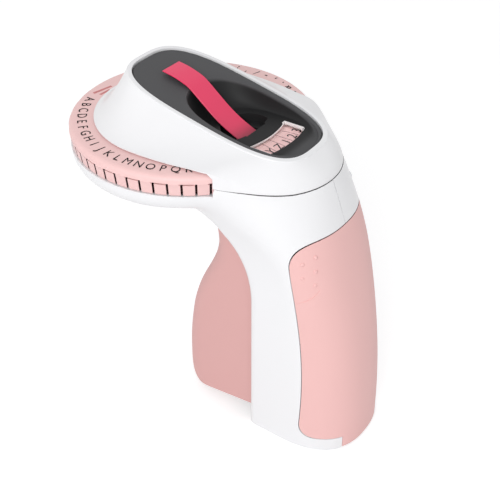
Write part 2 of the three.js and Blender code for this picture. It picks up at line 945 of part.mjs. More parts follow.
// Front face of the lever: places along X for shares of its height.
const leverFaceShares = [
  [0, 0.27], [0.008, 0.165], [0.018, 0.1], [0.045, 0.04], [0.083, 0.012], [0.135, 0.006], [0.248, 0.024],
  [0.362, 0.096], [0.449, 0.186], [0.539, 0.347], [0.651, 0.635], [0.718, 0.778], [0.769, 0.838],
  [0.805, 0.838], [0.849, 0.808], [0.888, 0.808], [0.931, 0.88], [0.964, 0.94], [1, 1],
];
const leverBackShares = [[0.85, 1], [0.91, 0.97], [0.95, 0.84], [0.98, 0.65], [1, 0.4]];

function shareAt(table, share) {
  let last = table[0];
  for (const entry of table) {
    if (entry[0] >= share) {
      const span = entry[0] - last[0];
      return span === 0 ? entry[1] : last[1] + (entry[1] - last[1]) * (share - last[0]) / span;
    }
    last = entry;
  }
  return last[1];
}

function leverLoft(inset, reach) {
  const height = leverTopZ - lever.lowFrontZ;
  const rings = leverFaceShares.map(([share, place]) => {
    const frontX = lever.bellyX + (lever.topX - lever.bellyX) * place + inset;
    const back = shareAt(leverBackShares, share);
    const rearX = lever.pivotX + (lever.rearX - lever.pivotX) * back + reach;
    const middle = Math.min(frontX + lever.cheekX, rearX - lever.wall);
    return planCurve({
      x: middle,
      front: middle - frontX,
      rear: rearX - middle,
      side: leverHalfWidth - inset,
      frontPower: lever.facePower,
      rearPower: handle.frontPower,
    }, leverSteps).map(([x, y]) => [x, y, lever.lowFrontZ + height * share]);
  });
  if (inset > 0) rings.push(rings[rings.length - 1].map(([x, y, z]) => [x, y, z + cutOver]));
  return loft(rings);
}

function belowLever(lift) {
  const wide = handle.halfWidth * 2;
  const slope = (lever.lowRearZ - lever.lowFrontZ) / (lever.rearX - lever.bellyX);
  const frontX = lever.bellyX - cutOver;
  const rearX = lever.rearX + wide;
  return sidePlate([
    [frontX, lever.lowFrontZ + lift - slope * cutOver],
    [frontX, -wide],
    [rearX, -wide],
    [rearX, lever.lowFrontZ + lift + slope * (rearX - lever.bellyX)],
  ], -wide, wide);
}

function squeezeLever() {
  const outer = leverLoft(0, 0).subtract(belowLever(0));
  const inner = leverLoft(lever.wall, lever.rearX).subtract(belowLever(lever.wall));
  const inside = leverHalfWidth - lever.wall - fitGap;
  const openFloor = block(lever.floorRearX, lever.rearX * 2, -inside, inside, 0, lever.lowRearZ * 2);
  const holes = [
    crossRod(lever.pivotX, pivotZ, lever.pinRadius + fitGap, -handle.halfWidth, handle.halfWidth),
    crossRod(lever.barX, barZ, lever.barRadius + fitGap, -handle.halfWidth, handle.halfWidth),
  ];
  return outer.subtract(join(inner, openFloor)).subtract(join(...holes));
}

function feedPawl() {
  const low = rollers.ratchetY - rollers.ratchetThick / 2;
  const high = rollers.ratchetY + rollers.ratchetThick / 2;
  const eye = crossRod(lever.barX, barZ, lever.barRadius + rollers.pawlWall + fitGap, low, high);
  const tipX = feedX - rollers.shaftRadius;
  const tipZ = rollersZ + rollers.ratchetRadius + runGap;
  const arm = sidePlate([
    [lever.barX, barZ - lever.barRadius - rollers.pawlWall],
    [tipX, tipZ],
    [tipX + rollers.pawlWall, tipZ + rollers.pawlWall],
    [tipX, tipZ + rollers.pawlTip],
    [lever.barX, barZ + lever.barRadius],
  ], low, high);
  const bore = crossRod(lever.barX, barZ, lever.barRadius + fitGap, low - cutOver, high + cutOver);
  return join(eye, arm).subtract(bore);
}

// A spring of round wire wound on the lever's pin, one leg on the lever and one under the tray.
function leverSpring() {
  const points = [];
  const pitch = spring.wire * 2 + fitGap * 2;
  const total = turnSteps * spring.turns;
  const startY = -pitch * spring.turns / 2;
  for (let i = 0; i <= total; i += 1) {
    const angle = Math.PI - turn * i / turnSteps;
    points.push(new THREE.Vector3(
      lever.pivotX + spring.radius * Math.cos(angle),
      startY + pitch * i / turnSteps,
      pivotZ + spring.radius * Math.sin(angle),
    ));
  }
  const first = points[0].clone();
  first.z -= spring.leg;
  const last = points[points.length - 1].clone();
  last.z += spring.upLeg;
  last.y += pitch / 2;
  const path = new THREE.CatmullRomCurve3([first, ...points, last], false, 'centripetal');
  const section = new THREE.Shape();
  section.absarc(0, 0, spring.wire, 0, turn, false);
  const geometry = new THREE.ExtrudeGeometry(section, {
    steps: total + legSteps,
    curveSegments: wireSegments,
    bevelEnabled: false,
    extrudePath: path,
  });
  return toSolid(geometry);
}

// The press.

function pressPlunger() {
  return block(
    pressX - press.halfLength,
    pressX + press.halfLength,
    -press.halfWidth,
    press.halfWidth,
    barZ + lever.barRadius + fitGap,
    padLowZ,
  );
}

function anvilPad() {
  return block(
    pressX - press.halfLength,
    pressX + press.halfLength,
    -press.halfWidth,
    press.halfWidth,
    padLowZ + fitGap,
    padTopZ,
  );
}

function cutterBlade() {
  const rear = bladeRearX;
  return sidePlate([
    [rear, bladeTopZ],
    [rear - press.bladeThick, bladeTopZ - press.bladeThick],
    [rear - press.bladeThick, bladeTopZ - press.bladeLength],
    [rear, bladeTopZ - press.bladeLength],
  ], -press.halfWidth, press.halfWidth);
}

// The tape and its path.

// The visible stretch leaves the slot, arches up over the recess and lies out over the insert.
function tapePath() {
  const turnX = tape.upX - tape.turnRadius;
  const turnZ = tapeLevelZ - tape.turnRadius;
  const points = [[tape.upX, roll.z], [tape.upX, rollersZ], [tape.upX, trayBottomZ]];
  for (let i = 0; i <= bendSteps; i += 1) {
    const angle = Math.PI / 2 * i / bendSteps;
    points.push([turnX + tape.turnRadius * Math.cos(angle), turnZ + tape.turnRadius * Math.sin(angle)]);
  }
  points.push([bladeRearX - press.bladeThick - press.tapeLead, tapeLevelZ]);
  const rimX = recess.rimX - recess.rimHalfLength;
  const rimZ = topZ(rimX) + tape.rimClear;
  const endZ = topZ(tape.endX) + tape.endLift;
  const between = (x0, z0, x1, z1) => ([along, up]) => [x0 + (x1 - x0) * along, z0 + (z1 - z0) * up];
  points.push(...tapeRiseShares.map(between(slotRearX, tapeLevelZ, rimX, rimZ)), [rimX, rimZ]);
  points.push(...tapeEndShares.map(between(rimX, rimZ, tape.endX, endZ)), [tape.endX, endZ]);
  const curve = new THREE.CatmullRomCurve3(
    points.map(([x, z]) => new THREE.Vector3(x, 0, z)),
    false,
    'centripetal',
  );
  return curve.getPoints(tapeSteps);
}
// Shares of length and climb from the slot to the recess's rim, and from there to the free end.
const tapeRiseShares = [
  [0, 0.0145], [0.115, 0.0957], [0.2457, 0.1854], [0.4033, 0.3063], [0.5967, 0.5025], [0.7827, 0.736],
];
const tapeEndShares = [[0.287, 0.434], [0.628, 0.786]];

function labelTape() {
  const path = tapePath();
  const left = [];
  const right = [];
  path.forEach((point, i) => {
    const before = path[Math.max(0, i - 1)];
    const after = path[Math.min(path.length - 1, i + 1)];
    const along = after.clone().sub(before).normalize();
    const half = tape.thick / 2;
    left.push([point.x - along.z * half, point.z + along.x * half]);
    right.unshift([point.x + along.z * half, point.z - along.x * half]);
  });
  return sidePlate([...left, ...right], -tape.halfWidth, tape.halfWidth);
}

function tapeGuide() {
  const turnX = tape.upX - tape.turnRadius;
  const turnZ = tapeLevelZ - tape.turnRadius;
  const inner = tape.turnRadius + tape.thick / 2 + fitGap;
  const outer = inner + guide.thick;
  const lowZ = trayFloorZ + fitGap;
  const arc = (radius, i) => [
    turnX + radius * Math.cos(guide.arcAngle * degree * i / bendSteps),
    turnZ + radius * Math.sin(guide.arcAngle * degree * i / bendSteps),
  ];
  const outline = [[turnX + inner, lowZ]];
  outline.push([turnX + outer + guide.foot, lowZ], [turnX + outer + guide.foot, lowZ + guide.thick]);
  outline.push([turnX + outer, lowZ + guide.thick]);
  for (let i = 0; i <= bendSteps; i += 1) outline.push(arc(outer, i));
  for (let i = bendSteps; i >= 0; i -= 1) outline.push(arc(inner, i));
  return sidePlate(outline, -tape.halfWidth - fitGap, tape.halfWidth + fitGap);
}

function tube(x, z, outer, inner, lowY, highY, steps = rodSteps) {
  const bore = crossRod(x, z, inner, lowY - cutOver, highY + cutOver, steps);
  return crossRod(x, z, outer, lowY, highY, steps).subtract(bore);
}

const shaftReach = chassisHalfWidth + fitGap;
function rollerShaft(x) {
  return crossRod(x, rollersZ, rollers.shaftRadius, -shaftReach, shaftReach);
}

function rollerTube(x, radius) {
  return tube(x, rollersZ, radius, rollers.shaftRadius + fitGap, -rollers.halfWidth, rollers.halfWidth);
}

function tapeReel() {
  const x = rollX;
  const side = roll.halfWidth + fitGap;
  const hub = crossRod(x, roll.z, roll.hubRadius, -side, side);
  const rims = [-1, 1].map((way) => {
    const ends = [way * side, way * (side + roll.rimThick)].sort((a, b) => a - b);
    return crossRod(x, roll.z, roll.rimRadius, ...ends);
  });
  const bore = crossRod(x, roll.z, roll.axleRadius + fitGap, -side * 2, side * 2);
  return join(hub, ...rims).subtract(bore);
}

function tapeRoll() {
  const bore = roll.hubRadius + fitGap;
  return tube(rollX, roll.z, rollRadius, bore, -tape.halfWidth, tape.halfWidth, rollSteps);
}

const toothBackShare = 0.25;
function ratchetWheel() {
  const points = [];
  for (let i = 0; i < rollers.ratchetTeeth; i += 1) {
    const angle = turn * i / rollers.ratchetTeeth;
    const back = angle + turn / rollers.ratchetTeeth * toothBackShare;
    const root = rollers.ratchetRadius - rollers.toothDepth;
    points.push([
      feedX + rollers.ratchetRadius * Math.cos(angle),
      rollersZ + rollers.ratchetRadius * Math.sin(angle),
    ]);
    points.push([feedX + root * Math.cos(back), rollersZ + root * Math.sin(back)]);
  }
  const low = rollers.ratchetY - rollers.ratchetThick / 2;
  const high = rollers.ratchetY + rollers.ratchetThick / 2;
  const boreRadius = rollers.shaftRadius + fitGap;
  const bore = crossRod(feedX, rollersZ, boreRadius, low - cutOver, high + cutOver, smallSteps);
  return sidePlate(points, low, high).subtract(bore);
}

// The steel frame and the foot.

function chassisFrame() {
  const lowZ = foot.thick + fitGap;
  const outline = [
    [chassisFrontX, lowZ],
    [chassis.rearLowX, lowZ],
    [chassis.rearLowX, chassis.rearLowHeight],
    [chassis.rearMidX, roll.z],
    [chassis.rearHighX, trayBottomZ - chassis.topDrop],
    [chassisFrontX - roll.hubRadius, trayBottomZ - chassis.noseTopDrop],
    [chassisNoseX, trayBottomZ - chassis.noseTopDrop],
    [chassisNoseX, rollersZ - chassis.noseLowDrop],
    [chassisFrontX - roll.hubRadius, rollersZ - chassis.noseLowDrop],
    [chassisFrontX - roll.hubRadius, roll.z - roll.hubRadius],
    [chassisFrontX, roll.z - rollRadius],
  ];
  const inner = chassisHalfWidth - chassis.thick;
  const plates = [-1, 1].map((side) => {
    const ends = [side * inner, side * chassisHalfWidth].sort((a, b) => a - b);
    return sidePlate(outline, ...ends);
  });
  const web = block(
    chassisFrontX,
    chassis.rearLowX,
    -chassisHalfWidth,
    chassisHalfWidth,
    lowZ,
    lowZ + chassis.webThick,
  );
  const wide = chassisHalfWidth + cutOver;
  const holes = [
    crossRod(rollX, roll.z, roll.axleRadius + fitGap, -wide, wide),
    crossRod(feedX, rollersZ, rollers.shaftRadius + fitGap, -wide, wide, smallSteps),
    crossRod(pressRollerX, rollersZ, rollers.shaftRadius + fitGap, -wide, wide, smallSteps),
    ...[-1, 1].map((side) => screwHole(screw.webX, side * screw.webY, lowZ, chassis.webThick)),
  ];
  return join(...plates, web).subtract(join(...holes));
}

function basePlate() {
  const shape = handleShape(0, handle.wall + fitGap);
  const curve = planCurve(shape);
  const plate = loft([
    curve.map(([x, y]) => [x, y, 0]),
    curve.map(([x, y]) => [x, y, foot.thick]),
  ]);
  const wide = handle.halfWidth * 2;
  const frontX = handle.frontX + fitGap;
  const tabRoom = tabHalfWidth + fitGap;
  const highZ = foot.thick + cutOver;
  const trimmed = plate
    .intersect(block(frontX, handle.rearX, -wide, wide, -cutOver, highZ))
    .subtract(block(grip.tabFrontX - fitGap, handle.rearX * 2, -tabRoom, tabRoom, -cutOver, highZ));
  const holes = footScrewPlaces().flatMap(([x, y]) => [
    screwHole(x, y, 0, foot.thick),
    uprightRod(x, y, screw.headRadius + fitGap, -cutOver, screw.headThick + fitGap * 2),
  ]);
  return trimmed.subtract(join(...holes));
}

function footScrewPlaces() {
  const sides = [-1, 1];
  return [
    ...sides.map((side) => [screw.footX, side * footY]),
    ...sides.map((side) => [screw.webX, side * screw.webY]),
  ];
}

// The rear cover of the tape compartment: a skin with a tab at its foot.
function gripCover() {
  const room = handleBody(grip.thick, -cutOver, handle.seamZ + cutOver);
  return handleBody(0, 0, handle.seamZ).subtract(room).intersect(gripRegion(0));
}

// Screws, each a head and a shank in one.
function uprightScrew(x, y, headZ, length) {
  const head = uprightRod(x, y, screw.headRadius, headZ, headZ + screw.headThick);
  return join(head, uprightRod(x, y, screw.shank, headZ + screw.headThick / 2, headZ + length));
}

function hangingScrew(x, y, headZ, length) {
  const head = uprightRod(x, y, screw.headRadius, headZ, headZ + screw.headThick);
  return join(head, uprightRod(x, y, screw.shank, headZ - length, headZ + screw.headThick / 2));
}

function crossScrew() {
  const headY = crossReach + fitGap;
  const cap = crossRod(screw.crossX, crossZ, screw.headRadius, headY, headY + screw.headThick, smallSteps);
  const shankEnd = headY + screw.headThick / 2;
  return join(cap, crossRod(screw.crossX, crossZ, screw.shank, fitGap - crossReach, shankEnd, smallSteps));
}

// Materials.

function finish(color, roughness, metalness = 0) {
  return new THREE.MeshStandardMaterial({ color, roughness, metalness });
}
const whitePlastic = finish(0xf2f2f4, 0.35);
const pinkPlastic = finish(0xeab5b1, 0.45);
const dialPlastic = finish(0xf5c6c3, 0.4);
const blackPlastic = finish(0x2b2b2d, 0.35);
const clearPlastic = finish(0xf3e6e6, 0.1);
const greyPlastic = finish(0xb9bbbe, 0.5);
const tapeVinyl = finish(0xe83e65, 0.3);
const brightSteel = finish(0xb8bbc0, 0.3, 1);
const darkSteel = finish(0x6f7378, 0.4, 1);
const softRubber = finish(0x3a3a3c, 0.9);

const labelMaker = new THREE.Group();
function addPiece(name, solid, material) {
  const mesh = new THREE.Mesh(toGeometry(solid), material);
  mesh.name = name;
  labelMaker.add(mesh);
  return mesh;
}

const bodyShell = bodyWhole();
addPiece('body_left', bodyHalf(bodyShell, -1), whitePlastic);
addPiece('body_right', bodyHalf(bodyShell, 1), whitePlastic);
addPiece('top_cover', topCover(), whitePlastic);
addPiece('top_insert', topInsert(), blackPlastic);
addPiece('window_lens', windowLens(), clearPlastic);
addPiece('dial_ring', dialRing(), dialPlastic);
addPiece('bearing_ring', bearingRing(), greyPlastic);
addPiece('detent_spring', detentSpring(), brightSteel);
addPiece('squeeze_lever', squeezeLever(), pinkPlastic);
const barReach = leverHalfWidth;
addPiece('lever_crossbar', crossRod(lever.barX, barZ, lever.barRadius, -barReach, barReach), brightSteel);
const pinReach = pinHalfLength;
addPiece('lever_pin', crossRod(lever.pivotX, pivotZ, lever.pinRadius, -pinReach, pinReach), brightSteel);
addPiece('lever_spring', leverSpring(), darkSteel);
addPiece('feed_pawl', feedPawl(), brightSteel);
addPiece('press_plunger', pressPlunger(), darkSteel);
addPiece('anvil_pad', anvilPad(), softRubber);
addPiece('cutter_blade', cutterBlade(), brightSteel);
addPiece('chassis', chassisFrame(), darkSteel);
addPiece('base_plate', basePlate(), darkSteel);
addPiece('grip_cover', gripCover(), pinkPlastic);
addPiece('label_tape', labelTape(), tapeVinyl);
addPiece('tape_guide', tapeGuide(), brightSteel);
addPiece('tape_reel', tapeReel(), greyPlastic);
addPiece('tape_roll', tapeRoll(), tapeVinyl);
addPiece('reel_axle', crossRod(rollX, roll.z, roll.axleRadius, -shaftReach, shaftReach), brightSteel);
addPiece('feed_shaft', rollerShaft(feedX), brightSteel);
addPiece('feed_roller', rollerTube(feedX, rollers.feedRadius), softRubber);
addPiece('ratchet_wheel', ratchetWheel(), brightSteel);
addPiece('pressure_shaft', rollerShaft(pressRollerX), brightSteel);
addPiece('pressure_roller', rollerTube(pressRollerX, rollers.pressRadius), greyPlastic);
addPiece('body_screw', crossScrew(), brightSteel);
const insertHeadZ = trayBottomZ - fitGap - screw.headThick;
insertScrewPlaces.forEach(([x, y], i) => {
  addPiece(`insert_screw_${i + 1}`, uprightScrew(x, y, insertHeadZ, screw.length), brightSteel);
});
const bearingHeadZ = trayFloorZ + fitGap * 2 + bearing.lugThick;
bearingScrewPlaces().forEach(([x, y], i) => {
  addPiece(`bearing_screw_${i + 1}`, hangingScrew(x, y, bearingHeadZ, bearing.screwLength), brightSteel);
});
const coverHeadZ = shelfZ - fitGap - screw.headThick;
[-1, 1].forEach((side, i) => {
  const piece = uprightScrew(screw.coverX, side * screw.coverY, coverHeadZ, screw.coverLength);
  addPiece(`cover_screw_${i + 1}`, piece, brightSteel);
});
footScrewPlaces().forEach(([x, y], i) => {
  addPiece(`foot_screw_${i + 1}`, uprightScrew(x, y, fitGap / 2, screw.footLength), brightSteel);
});

export default labelMaker;
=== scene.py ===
"""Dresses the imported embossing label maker: moulded shells, lettered dial, tape, finishes and a plain pale stage."""

import json
import math
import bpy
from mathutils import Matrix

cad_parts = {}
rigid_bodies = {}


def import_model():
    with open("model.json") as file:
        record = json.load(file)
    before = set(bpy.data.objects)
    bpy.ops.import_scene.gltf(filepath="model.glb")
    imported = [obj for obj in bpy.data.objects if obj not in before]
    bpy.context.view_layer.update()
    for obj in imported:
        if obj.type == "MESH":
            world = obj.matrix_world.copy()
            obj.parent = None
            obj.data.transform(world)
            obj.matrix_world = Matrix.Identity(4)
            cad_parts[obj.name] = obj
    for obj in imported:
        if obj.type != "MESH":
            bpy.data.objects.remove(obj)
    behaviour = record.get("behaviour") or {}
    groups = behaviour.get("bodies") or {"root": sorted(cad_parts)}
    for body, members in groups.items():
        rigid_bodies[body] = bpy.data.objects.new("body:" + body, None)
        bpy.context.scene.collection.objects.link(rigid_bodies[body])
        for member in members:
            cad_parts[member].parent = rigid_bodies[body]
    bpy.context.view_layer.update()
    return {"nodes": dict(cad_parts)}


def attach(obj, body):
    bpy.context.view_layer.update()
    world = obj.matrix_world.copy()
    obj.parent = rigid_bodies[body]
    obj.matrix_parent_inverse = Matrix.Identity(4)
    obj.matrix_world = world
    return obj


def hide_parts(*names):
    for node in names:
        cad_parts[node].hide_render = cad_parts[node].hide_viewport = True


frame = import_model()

from types import SimpleNamespace as Sizes

import bpy
from mathutils import Matrix, Vector

bl_info = {
    "name": "Embossing Label Maker",
    "version": (1, 0, 0),
    "blender": (4, 5, 0),
    "location": "View3D > Sidebar > Label Maker",
    "description": "Builds the visible shells, dial, lever, tape and finishes of a hand-held embossing label maker",
    "category": "Mesh",
}

MM = 0.001
TURN = math.tau
NODES = frame["nodes"]


def shade(red, green, blue):
    """A screen colour, 0 to 255, as the linear colour that a shader takes."""
    def one(value):
        value /= 255
        return value / 12.92 if value <= 0.04045 else ((value + 0.055) / 1.055) ** 2.4
    return (one(red), one(green), one(blue))


# Sizes of the moulded shapes, in millimetres.

SEAM_Z = 103.8
CLIMB = Sizes(per_mm=0.11, rear_x=33.0, front_x=8.0)
FLARE = Sizes(most=0.95, x=12.8, reach=10.0, low_z=94.0, rise=8.0)
HANDLE = Sizes(rear_x=59.0, front_x=20.3, round_x=33.6, half_width=21.45, rear_power=2.47, front_power=16.0,
               wall=1.8, arch_low=58.0, arch_end=3.0, spread_from=0.58, lean_power=2.08)
HEAD = Sizes(front=33.5, half_width=33.5, rear_x=38.4, front_power=2.0, rear_power=2.1, wall=1.7)
DIAL_X = -17.8
DIAL = Sizes(rim=42.14, low_z=103.5, top_z=110.9, letters=37.4, letter_z=110.7, inner=28.0, web_z=109.3,
             slot_top=108.0, clear=0.4, places=58)
TRAY = Sizes(radius=42.0, edge_z=103.2, bottom_z=96.0, floor=1.6, round=5.5, wall=1.7)
JOINT = Sizes(voxel=0.8, even_passes=8, round_passes=110, full=1.35, reach=9.0)
TOP = Sizes(front_z=126.0, slope=0.208, x=-3.4, half_length=33.35, half_width=16.9, power=3.15, edge=0.3, lip=1.5,
            lip_rise=0.4, floor_z=112.2, skin=1.5)
RECESS = Sizes(rim_x=7.0, rim_half=22.5, rim_wide=14.6, floor_x=10.0, floor_half=17.0, floor_wide=12.6,
               power=2.6, edge=0.45)
WELL = Sizes(x=5.2, radius=9.1, rear=26.6, floor_z=109.2, wall=1.0, slot_front=3.0, slot_rear=8.8,
             slot_wide=5.4)
WINDOW = Sizes(inner=32.4, outer=40.4, half_width=10.3, thick=0.6, border=0.22)
LEVER = Sizes(pivot_x=8.5, half_width=18.2, wall=1.5, belly_x=-13.4, top_x=4.0, top_z=94.3, rear_x=24.0,
              corner=8.0, face_power=3.4, low_front=2.4, low_rear=6.9, open_front=12.0, open_rear=48.0,
              open_top=13.8)
GRIP = Sizes(thick=2.0, top_z=88.6, low_z=5.8, low_front=42.2, high_front=36.3, low_corner=6.0,
             high_corner=8.0, bow=2.0, tab_wide=12.2, tab_x=54.6, tab_z=0.5)
TAPE = Sizes(half_width=4.5, level_z=107.2, up_x=19.9, turn=2.8, end_x=-26.3, end_lift=1.5, slot_x=8.8,
             level_x=10.2, rim_lift=0.8, roll_z=64.0, roller_z=85.6, rise_z=96.0)
TAPE_PASSAGE = ((10.6, -5.3, 90.0), (20.7, 5.3, 99.0))  # two corners of the opening in the tray
SCREW_BORE = ((33.5, 27.0, 94.2), 2.4, 20.0)  # middle, radius and length
GAP = 0.3  # between pieces that part from each other
ON_LINE = 0.03  # how near a parting line a face counts as inside it
PAST = Sizes(x=90.0, y=70.0, low_z=-20.0, high_z=140.0)  # beyond the tool on every side, for cuts
ROUND = 180  # corners in each ring of the cover and the insert


# Working with objects.

def drop_selection():
    for item in bpy.context.view_layer.objects:
        item.select_set(False)


def make_active(piece):
    drop_selection()
    piece.select_set(True)
    bpy.context.view_layer.objects.active = piece


def named(name):
    piece = bpy.context.view_layer.objects.active
    piece.name = name
    piece.data.name = name
    return piece


def fix_place(piece):
    make_active(piece)
    bpy.ops.object.transform_apply(location=True, rotation=True, scale=True)


def close_skin(piece):
    """Merges the corners that meet, closes open ends and turns all faces outwards."""
    make_active(piece)
    bpy.ops.object.mode_set(mode="EDIT")
    bpy.ops.mesh.select_all(action="SELECT")
    bpy.ops.mesh.remove_doubles(threshold=2e-6)
    bpy.ops.mesh.select_all(action="SELECT")
    bpy.ops.mesh.fill_holes(sides=0)
    bpy.ops.mesh.select_all(action="SELECT")
    bpy.ops.mesh.normals_make_consistent(inside=False)
    bpy.ops.object.mode_set(mode="OBJECT")


def skin(name, rings):
    """A sheet of squares drawn round a row of closed rings, then closed at both ends. Rings are in millimetres."""
    columns, rows = len(rings[0]), len(rings) - 1
    drop_selection()
    bpy.ops.mesh.primitive_grid_add(x_subdivisions=columns, y_subdivisions=rows, size=1)
    piece = named(name)
    for corner in piece.data.vertices:
        column = round((corner.co.x + 0.5) * columns) % columns
        row = round((corner.co.y + 0.5) * rows)
        corner.co = Vector(rings[row][column]) * MM
    close_skin(piece)
    return piece


def block(low, high):
    """A box between two corners."""
    drop_selection()
    middle = [(a + b) / 2 * MM for a, b in zip(low, high)]
    size = [(b - a) * MM for a, b in zip(low, high)]
    bpy.ops.mesh.primitive_cube_add(size=1, location=middle, scale=size)
    piece = named("block")
    fix_place(piece)
    return piece


def bore(place, radius, length):
    """A round rod across the tool."""
    drop_selection()
    bpy.ops.mesh.primitive_cylinder_add(vertices=32, radius=radius * MM, depth=length * MM,
                                        location=[v * MM for v in place], rotation=(math.pi / 2, 0, 0))
    rod = named("bore")
    fix_place(rod)
    return rod


def lathe(name, outline, steps=ROUND):
    """A solid turned about the dial's axis, from radius and height."""
    return skin(name, [[(*on_circle(radius, TURN * i / steps), z) for i in range(steps)] for radius, z in outline])


def prism(name, outline, low_z, high_z):
    """An outline seen from above, made a solid."""
    return skin(name, [[(x, y, z) for x, y in outline] for z in (low_z, high_z)])


def side_prism(name, outline, low_y, high_y):
    """An outline seen from the side, made a solid."""
    return skin(name, [[(x, y, z) for x, z in outline] for y in (low_y, high_y)])


def modify(piece, kind, **values):
    make_active(piece)
    modifier = piece.modifiers.new(kind.lower(), kind)
    for key, value in values.items():
        setattr(modifier, key, value)
    bpy.ops.object.modifier_apply(modifier=modifier.name)


def discard(*pieces):
    for piece in pieces:
        bpy.data.objects.remove(piece, do_unlink=True)


def carve(piece, other, operation="DIFFERENCE"):
    modify(piece, "BOOLEAN", operation=operation, solver="EXACT", object=other)
    if not piece.data.polygons:
        raise RuntimeError(f"{piece.name} has nothing left after a cut by {other.name}")
    discard(other)


def copy_of(piece, name):
    double = piece.copy()
    double.data = piece.data.copy()
    double.name = name
    double.data.name = name
    bpy.context.scene.collection.objects.link(double)
    return double


def joined(pieces, name):
    drop_selection()
    for piece in pieces:
        piece.select_set(True)
    bpy.context.view_layer.objects.active = pieces[0]
    bpy.ops.object.join()
    return named(name)


def smooth(piece, degrees=32.0):
    make_active(piece)
    bpy.ops.object.shade_smooth_by_angle(angle=math.radians(degrees))


def dress(piece, key, body, slot, *replaced):
    """Gives a piece its finish, the body that it moves with and the solids that it stands for."""
    piece.data.materials.clear()
    piece.data.materials.append(finish(key))
    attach(piece, body)
    if replaced:
        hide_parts(*replaced)


# Curves of the moulded shapes, in millimetres.

def signed_power(value, power):
    return math.copysign(abs(value) ** power, value)


def on_circle(radius, angle, x=DIAL_X, y=0.0):
    return x + radius * math.cos(angle), y + radius * math.sin(angle)


def between(start, end, share):
    return tuple(a + (b - a) * share for a, b in zip(start, end))


def eased(t, v0, v1, m0, m1):
    """A cubic from one value to the next, with its run at both ends."""
    return ((2 * t ** 3 - 3 * t ** 2 + 1) * v0 + (t ** 3 - 2 * t ** 2 + t) * m0
            + (3 * t ** 2 - 2 * t ** 3) * v1 + (t ** 3 - t ** 2) * m1)


def plan_curve(x, front, rear, side, front_power, rear_power, count):
    """A rounded outline seen from above, its front and rear parts with their own reach and squareness."""
    points = []
    for i in range(count):
        c, s = math.cos(TURN * i / count), math.sin(TURN * i / count)
        power, reach = (front_power, front) if c < 0 else (rear_power, rear)
        points.append((x + reach * signed_power(c, 2 / power), side * signed_power(s, 2 / power)))
    return points


def oval(x, half_length, half_width, power):
    return plan_curve(x, half_length, half_length, half_width, power, power, ROUND)


def smooth_step(value):
    value = min(1.0, max(0.0, value))
    return value * value * (3 - 2 * value)


def seam_z(x):
    """The parting line under the cover: level at the rear, climbing a little towards the dial."""
    return SEAM_Z + CLIMB.per_mm * max(0.0, CLIMB.rear_x - max(x, CLIMB.front_x))


def flare(x, z):
    """How much the flanks swell where they run into the dial."""
    return FLARE.most * smooth_step(1 - abs(x - FLARE.x) / FLARE.reach) * smooth_step((z - FLARE.low_z) / FLARE.rise)


def handle_shape(level, inset=0.0):
    """The outline of handle and neck at one height, as plan_curve takes it."""
    z = min(max(level, 0.0), SEAM_Z)
    low = SEAM_Z * HANDLE.spread_from
    spread = (max(0.0, z - low) / (SEAM_Z - low)) ** 3
    rear_x = HANDLE.rear_x - (HANDLE.rear_x - HEAD.rear_x) * (z / SEAM_Z) ** HANDLE.lean_power
    x = HANDLE.round_x + (DIAL_X - HANDLE.round_x) * spread
    climb = min(1.0, max(0.0, (z - HANDLE.arch_low) / (TRAY.bottom_z - HANDLE.arch_low)))
    reach = HANDLE.front_x - (DIAL_X + HANDLE.arch_end)
    front_x = HANDLE.front_x - reach * (1 - math.sqrt(1 - climb * climb))
    return {
        "x": x, "front": max(x - front_x, HANDLE.wall), "rear": rear_x - x - inset,
        "side": HANDLE.half_width + (HEAD.half_width - HANDLE.half_width) * spread - inset,
        "front_power": HANDLE.front_power,
        "rear_power": HANDLE.rear_power + (HEAD.rear_power - HANDLE.rear_power) * spread,
    }


def handle_part(x, z):
    """How far x lies along the handle's front or rear part, with that part's reach, squareness and half width."""
    shape = handle_shape(z)
    along = x - shape["x"]
    part = "front" if along < 0 else "rear"
    return along, shape[part], shape[part + "_power"], shape["side"]


def handle_side(x, z):
    """Half the handle's width at a place seen from the side."""
    along, reach, power, side = handle_part(x, z)
    return side * max(0.0, 1 - (abs(along) / reach) ** power) ** (1 / power)


def handle_levels(low, high):
    levels = [low + (min(80.0, high) - low) * i / 42 for i in range(43)]
    levels += [80 + i for i in range(1, int(high) - 79)]
    if levels[-1] < high:
        levels.append(high)
    return levels


def handle_loft(name, inset, low, high, stretch=0.0, count=128):
    rings = []
    for z in handle_levels(low, high):
        shape = handle_shape(z, inset)
        shape["front"] += stretch
        rings.append([(x, y + math.copysign(flare(x, z), y), z) for x, y in plan_curve(count=count, **shape)])
    return skin(name, rings)


def top_z(x):
    return TOP.front_z - TOP.slope * (TOP.half_length + x - TOP.x)


def top_ring(grow, rise):
    """The insert's outline on the sloping top."""
    return [(x, y, top_z(x) + rise)
            for x, y in oval(TOP.x, TOP.half_length + grow, TOP.half_width + grow, TOP.power)]


def bezier(points, steps):
    """Points along one curve, without its first."""
    line = []
    for i in range(1, steps + 1):
        level = list(points)
        while len(level) > 1:
            level = [between(p, q, i / steps) for p, q in zip(level, level[1:])]
        line.append(level[0])
    return line


def grip_outline(gap):
    """The rear cover's edge seen from the side."""
    outer = HANDLE.rear_x + 4.0
    low_front, high_front = GRIP.low_front - gap, GRIP.high_front - gap
    low, high = GRIP.low_z - gap, GRIP.top_z + gap
    low_corner, high_corner, bow = GRIP.low_corner, GRIP.high_corner, GRIP.bow
    line = [(outer, low), (low_front + low_corner, low)]
    line += bezier([line[-1], (low_front, low), (low_front, low + low_corner)], 12)
    line += bezier([line[-1], (low_front + bow, (low + high) / 2), (high_front + bow, high - high_corner * 3),
                    (high_front, high - high_corner)], 28)
    line += bezier([line[-1], (high_front, high), (high_front + high_corner, high)], 14)
    line.append((outer, high))
    return line


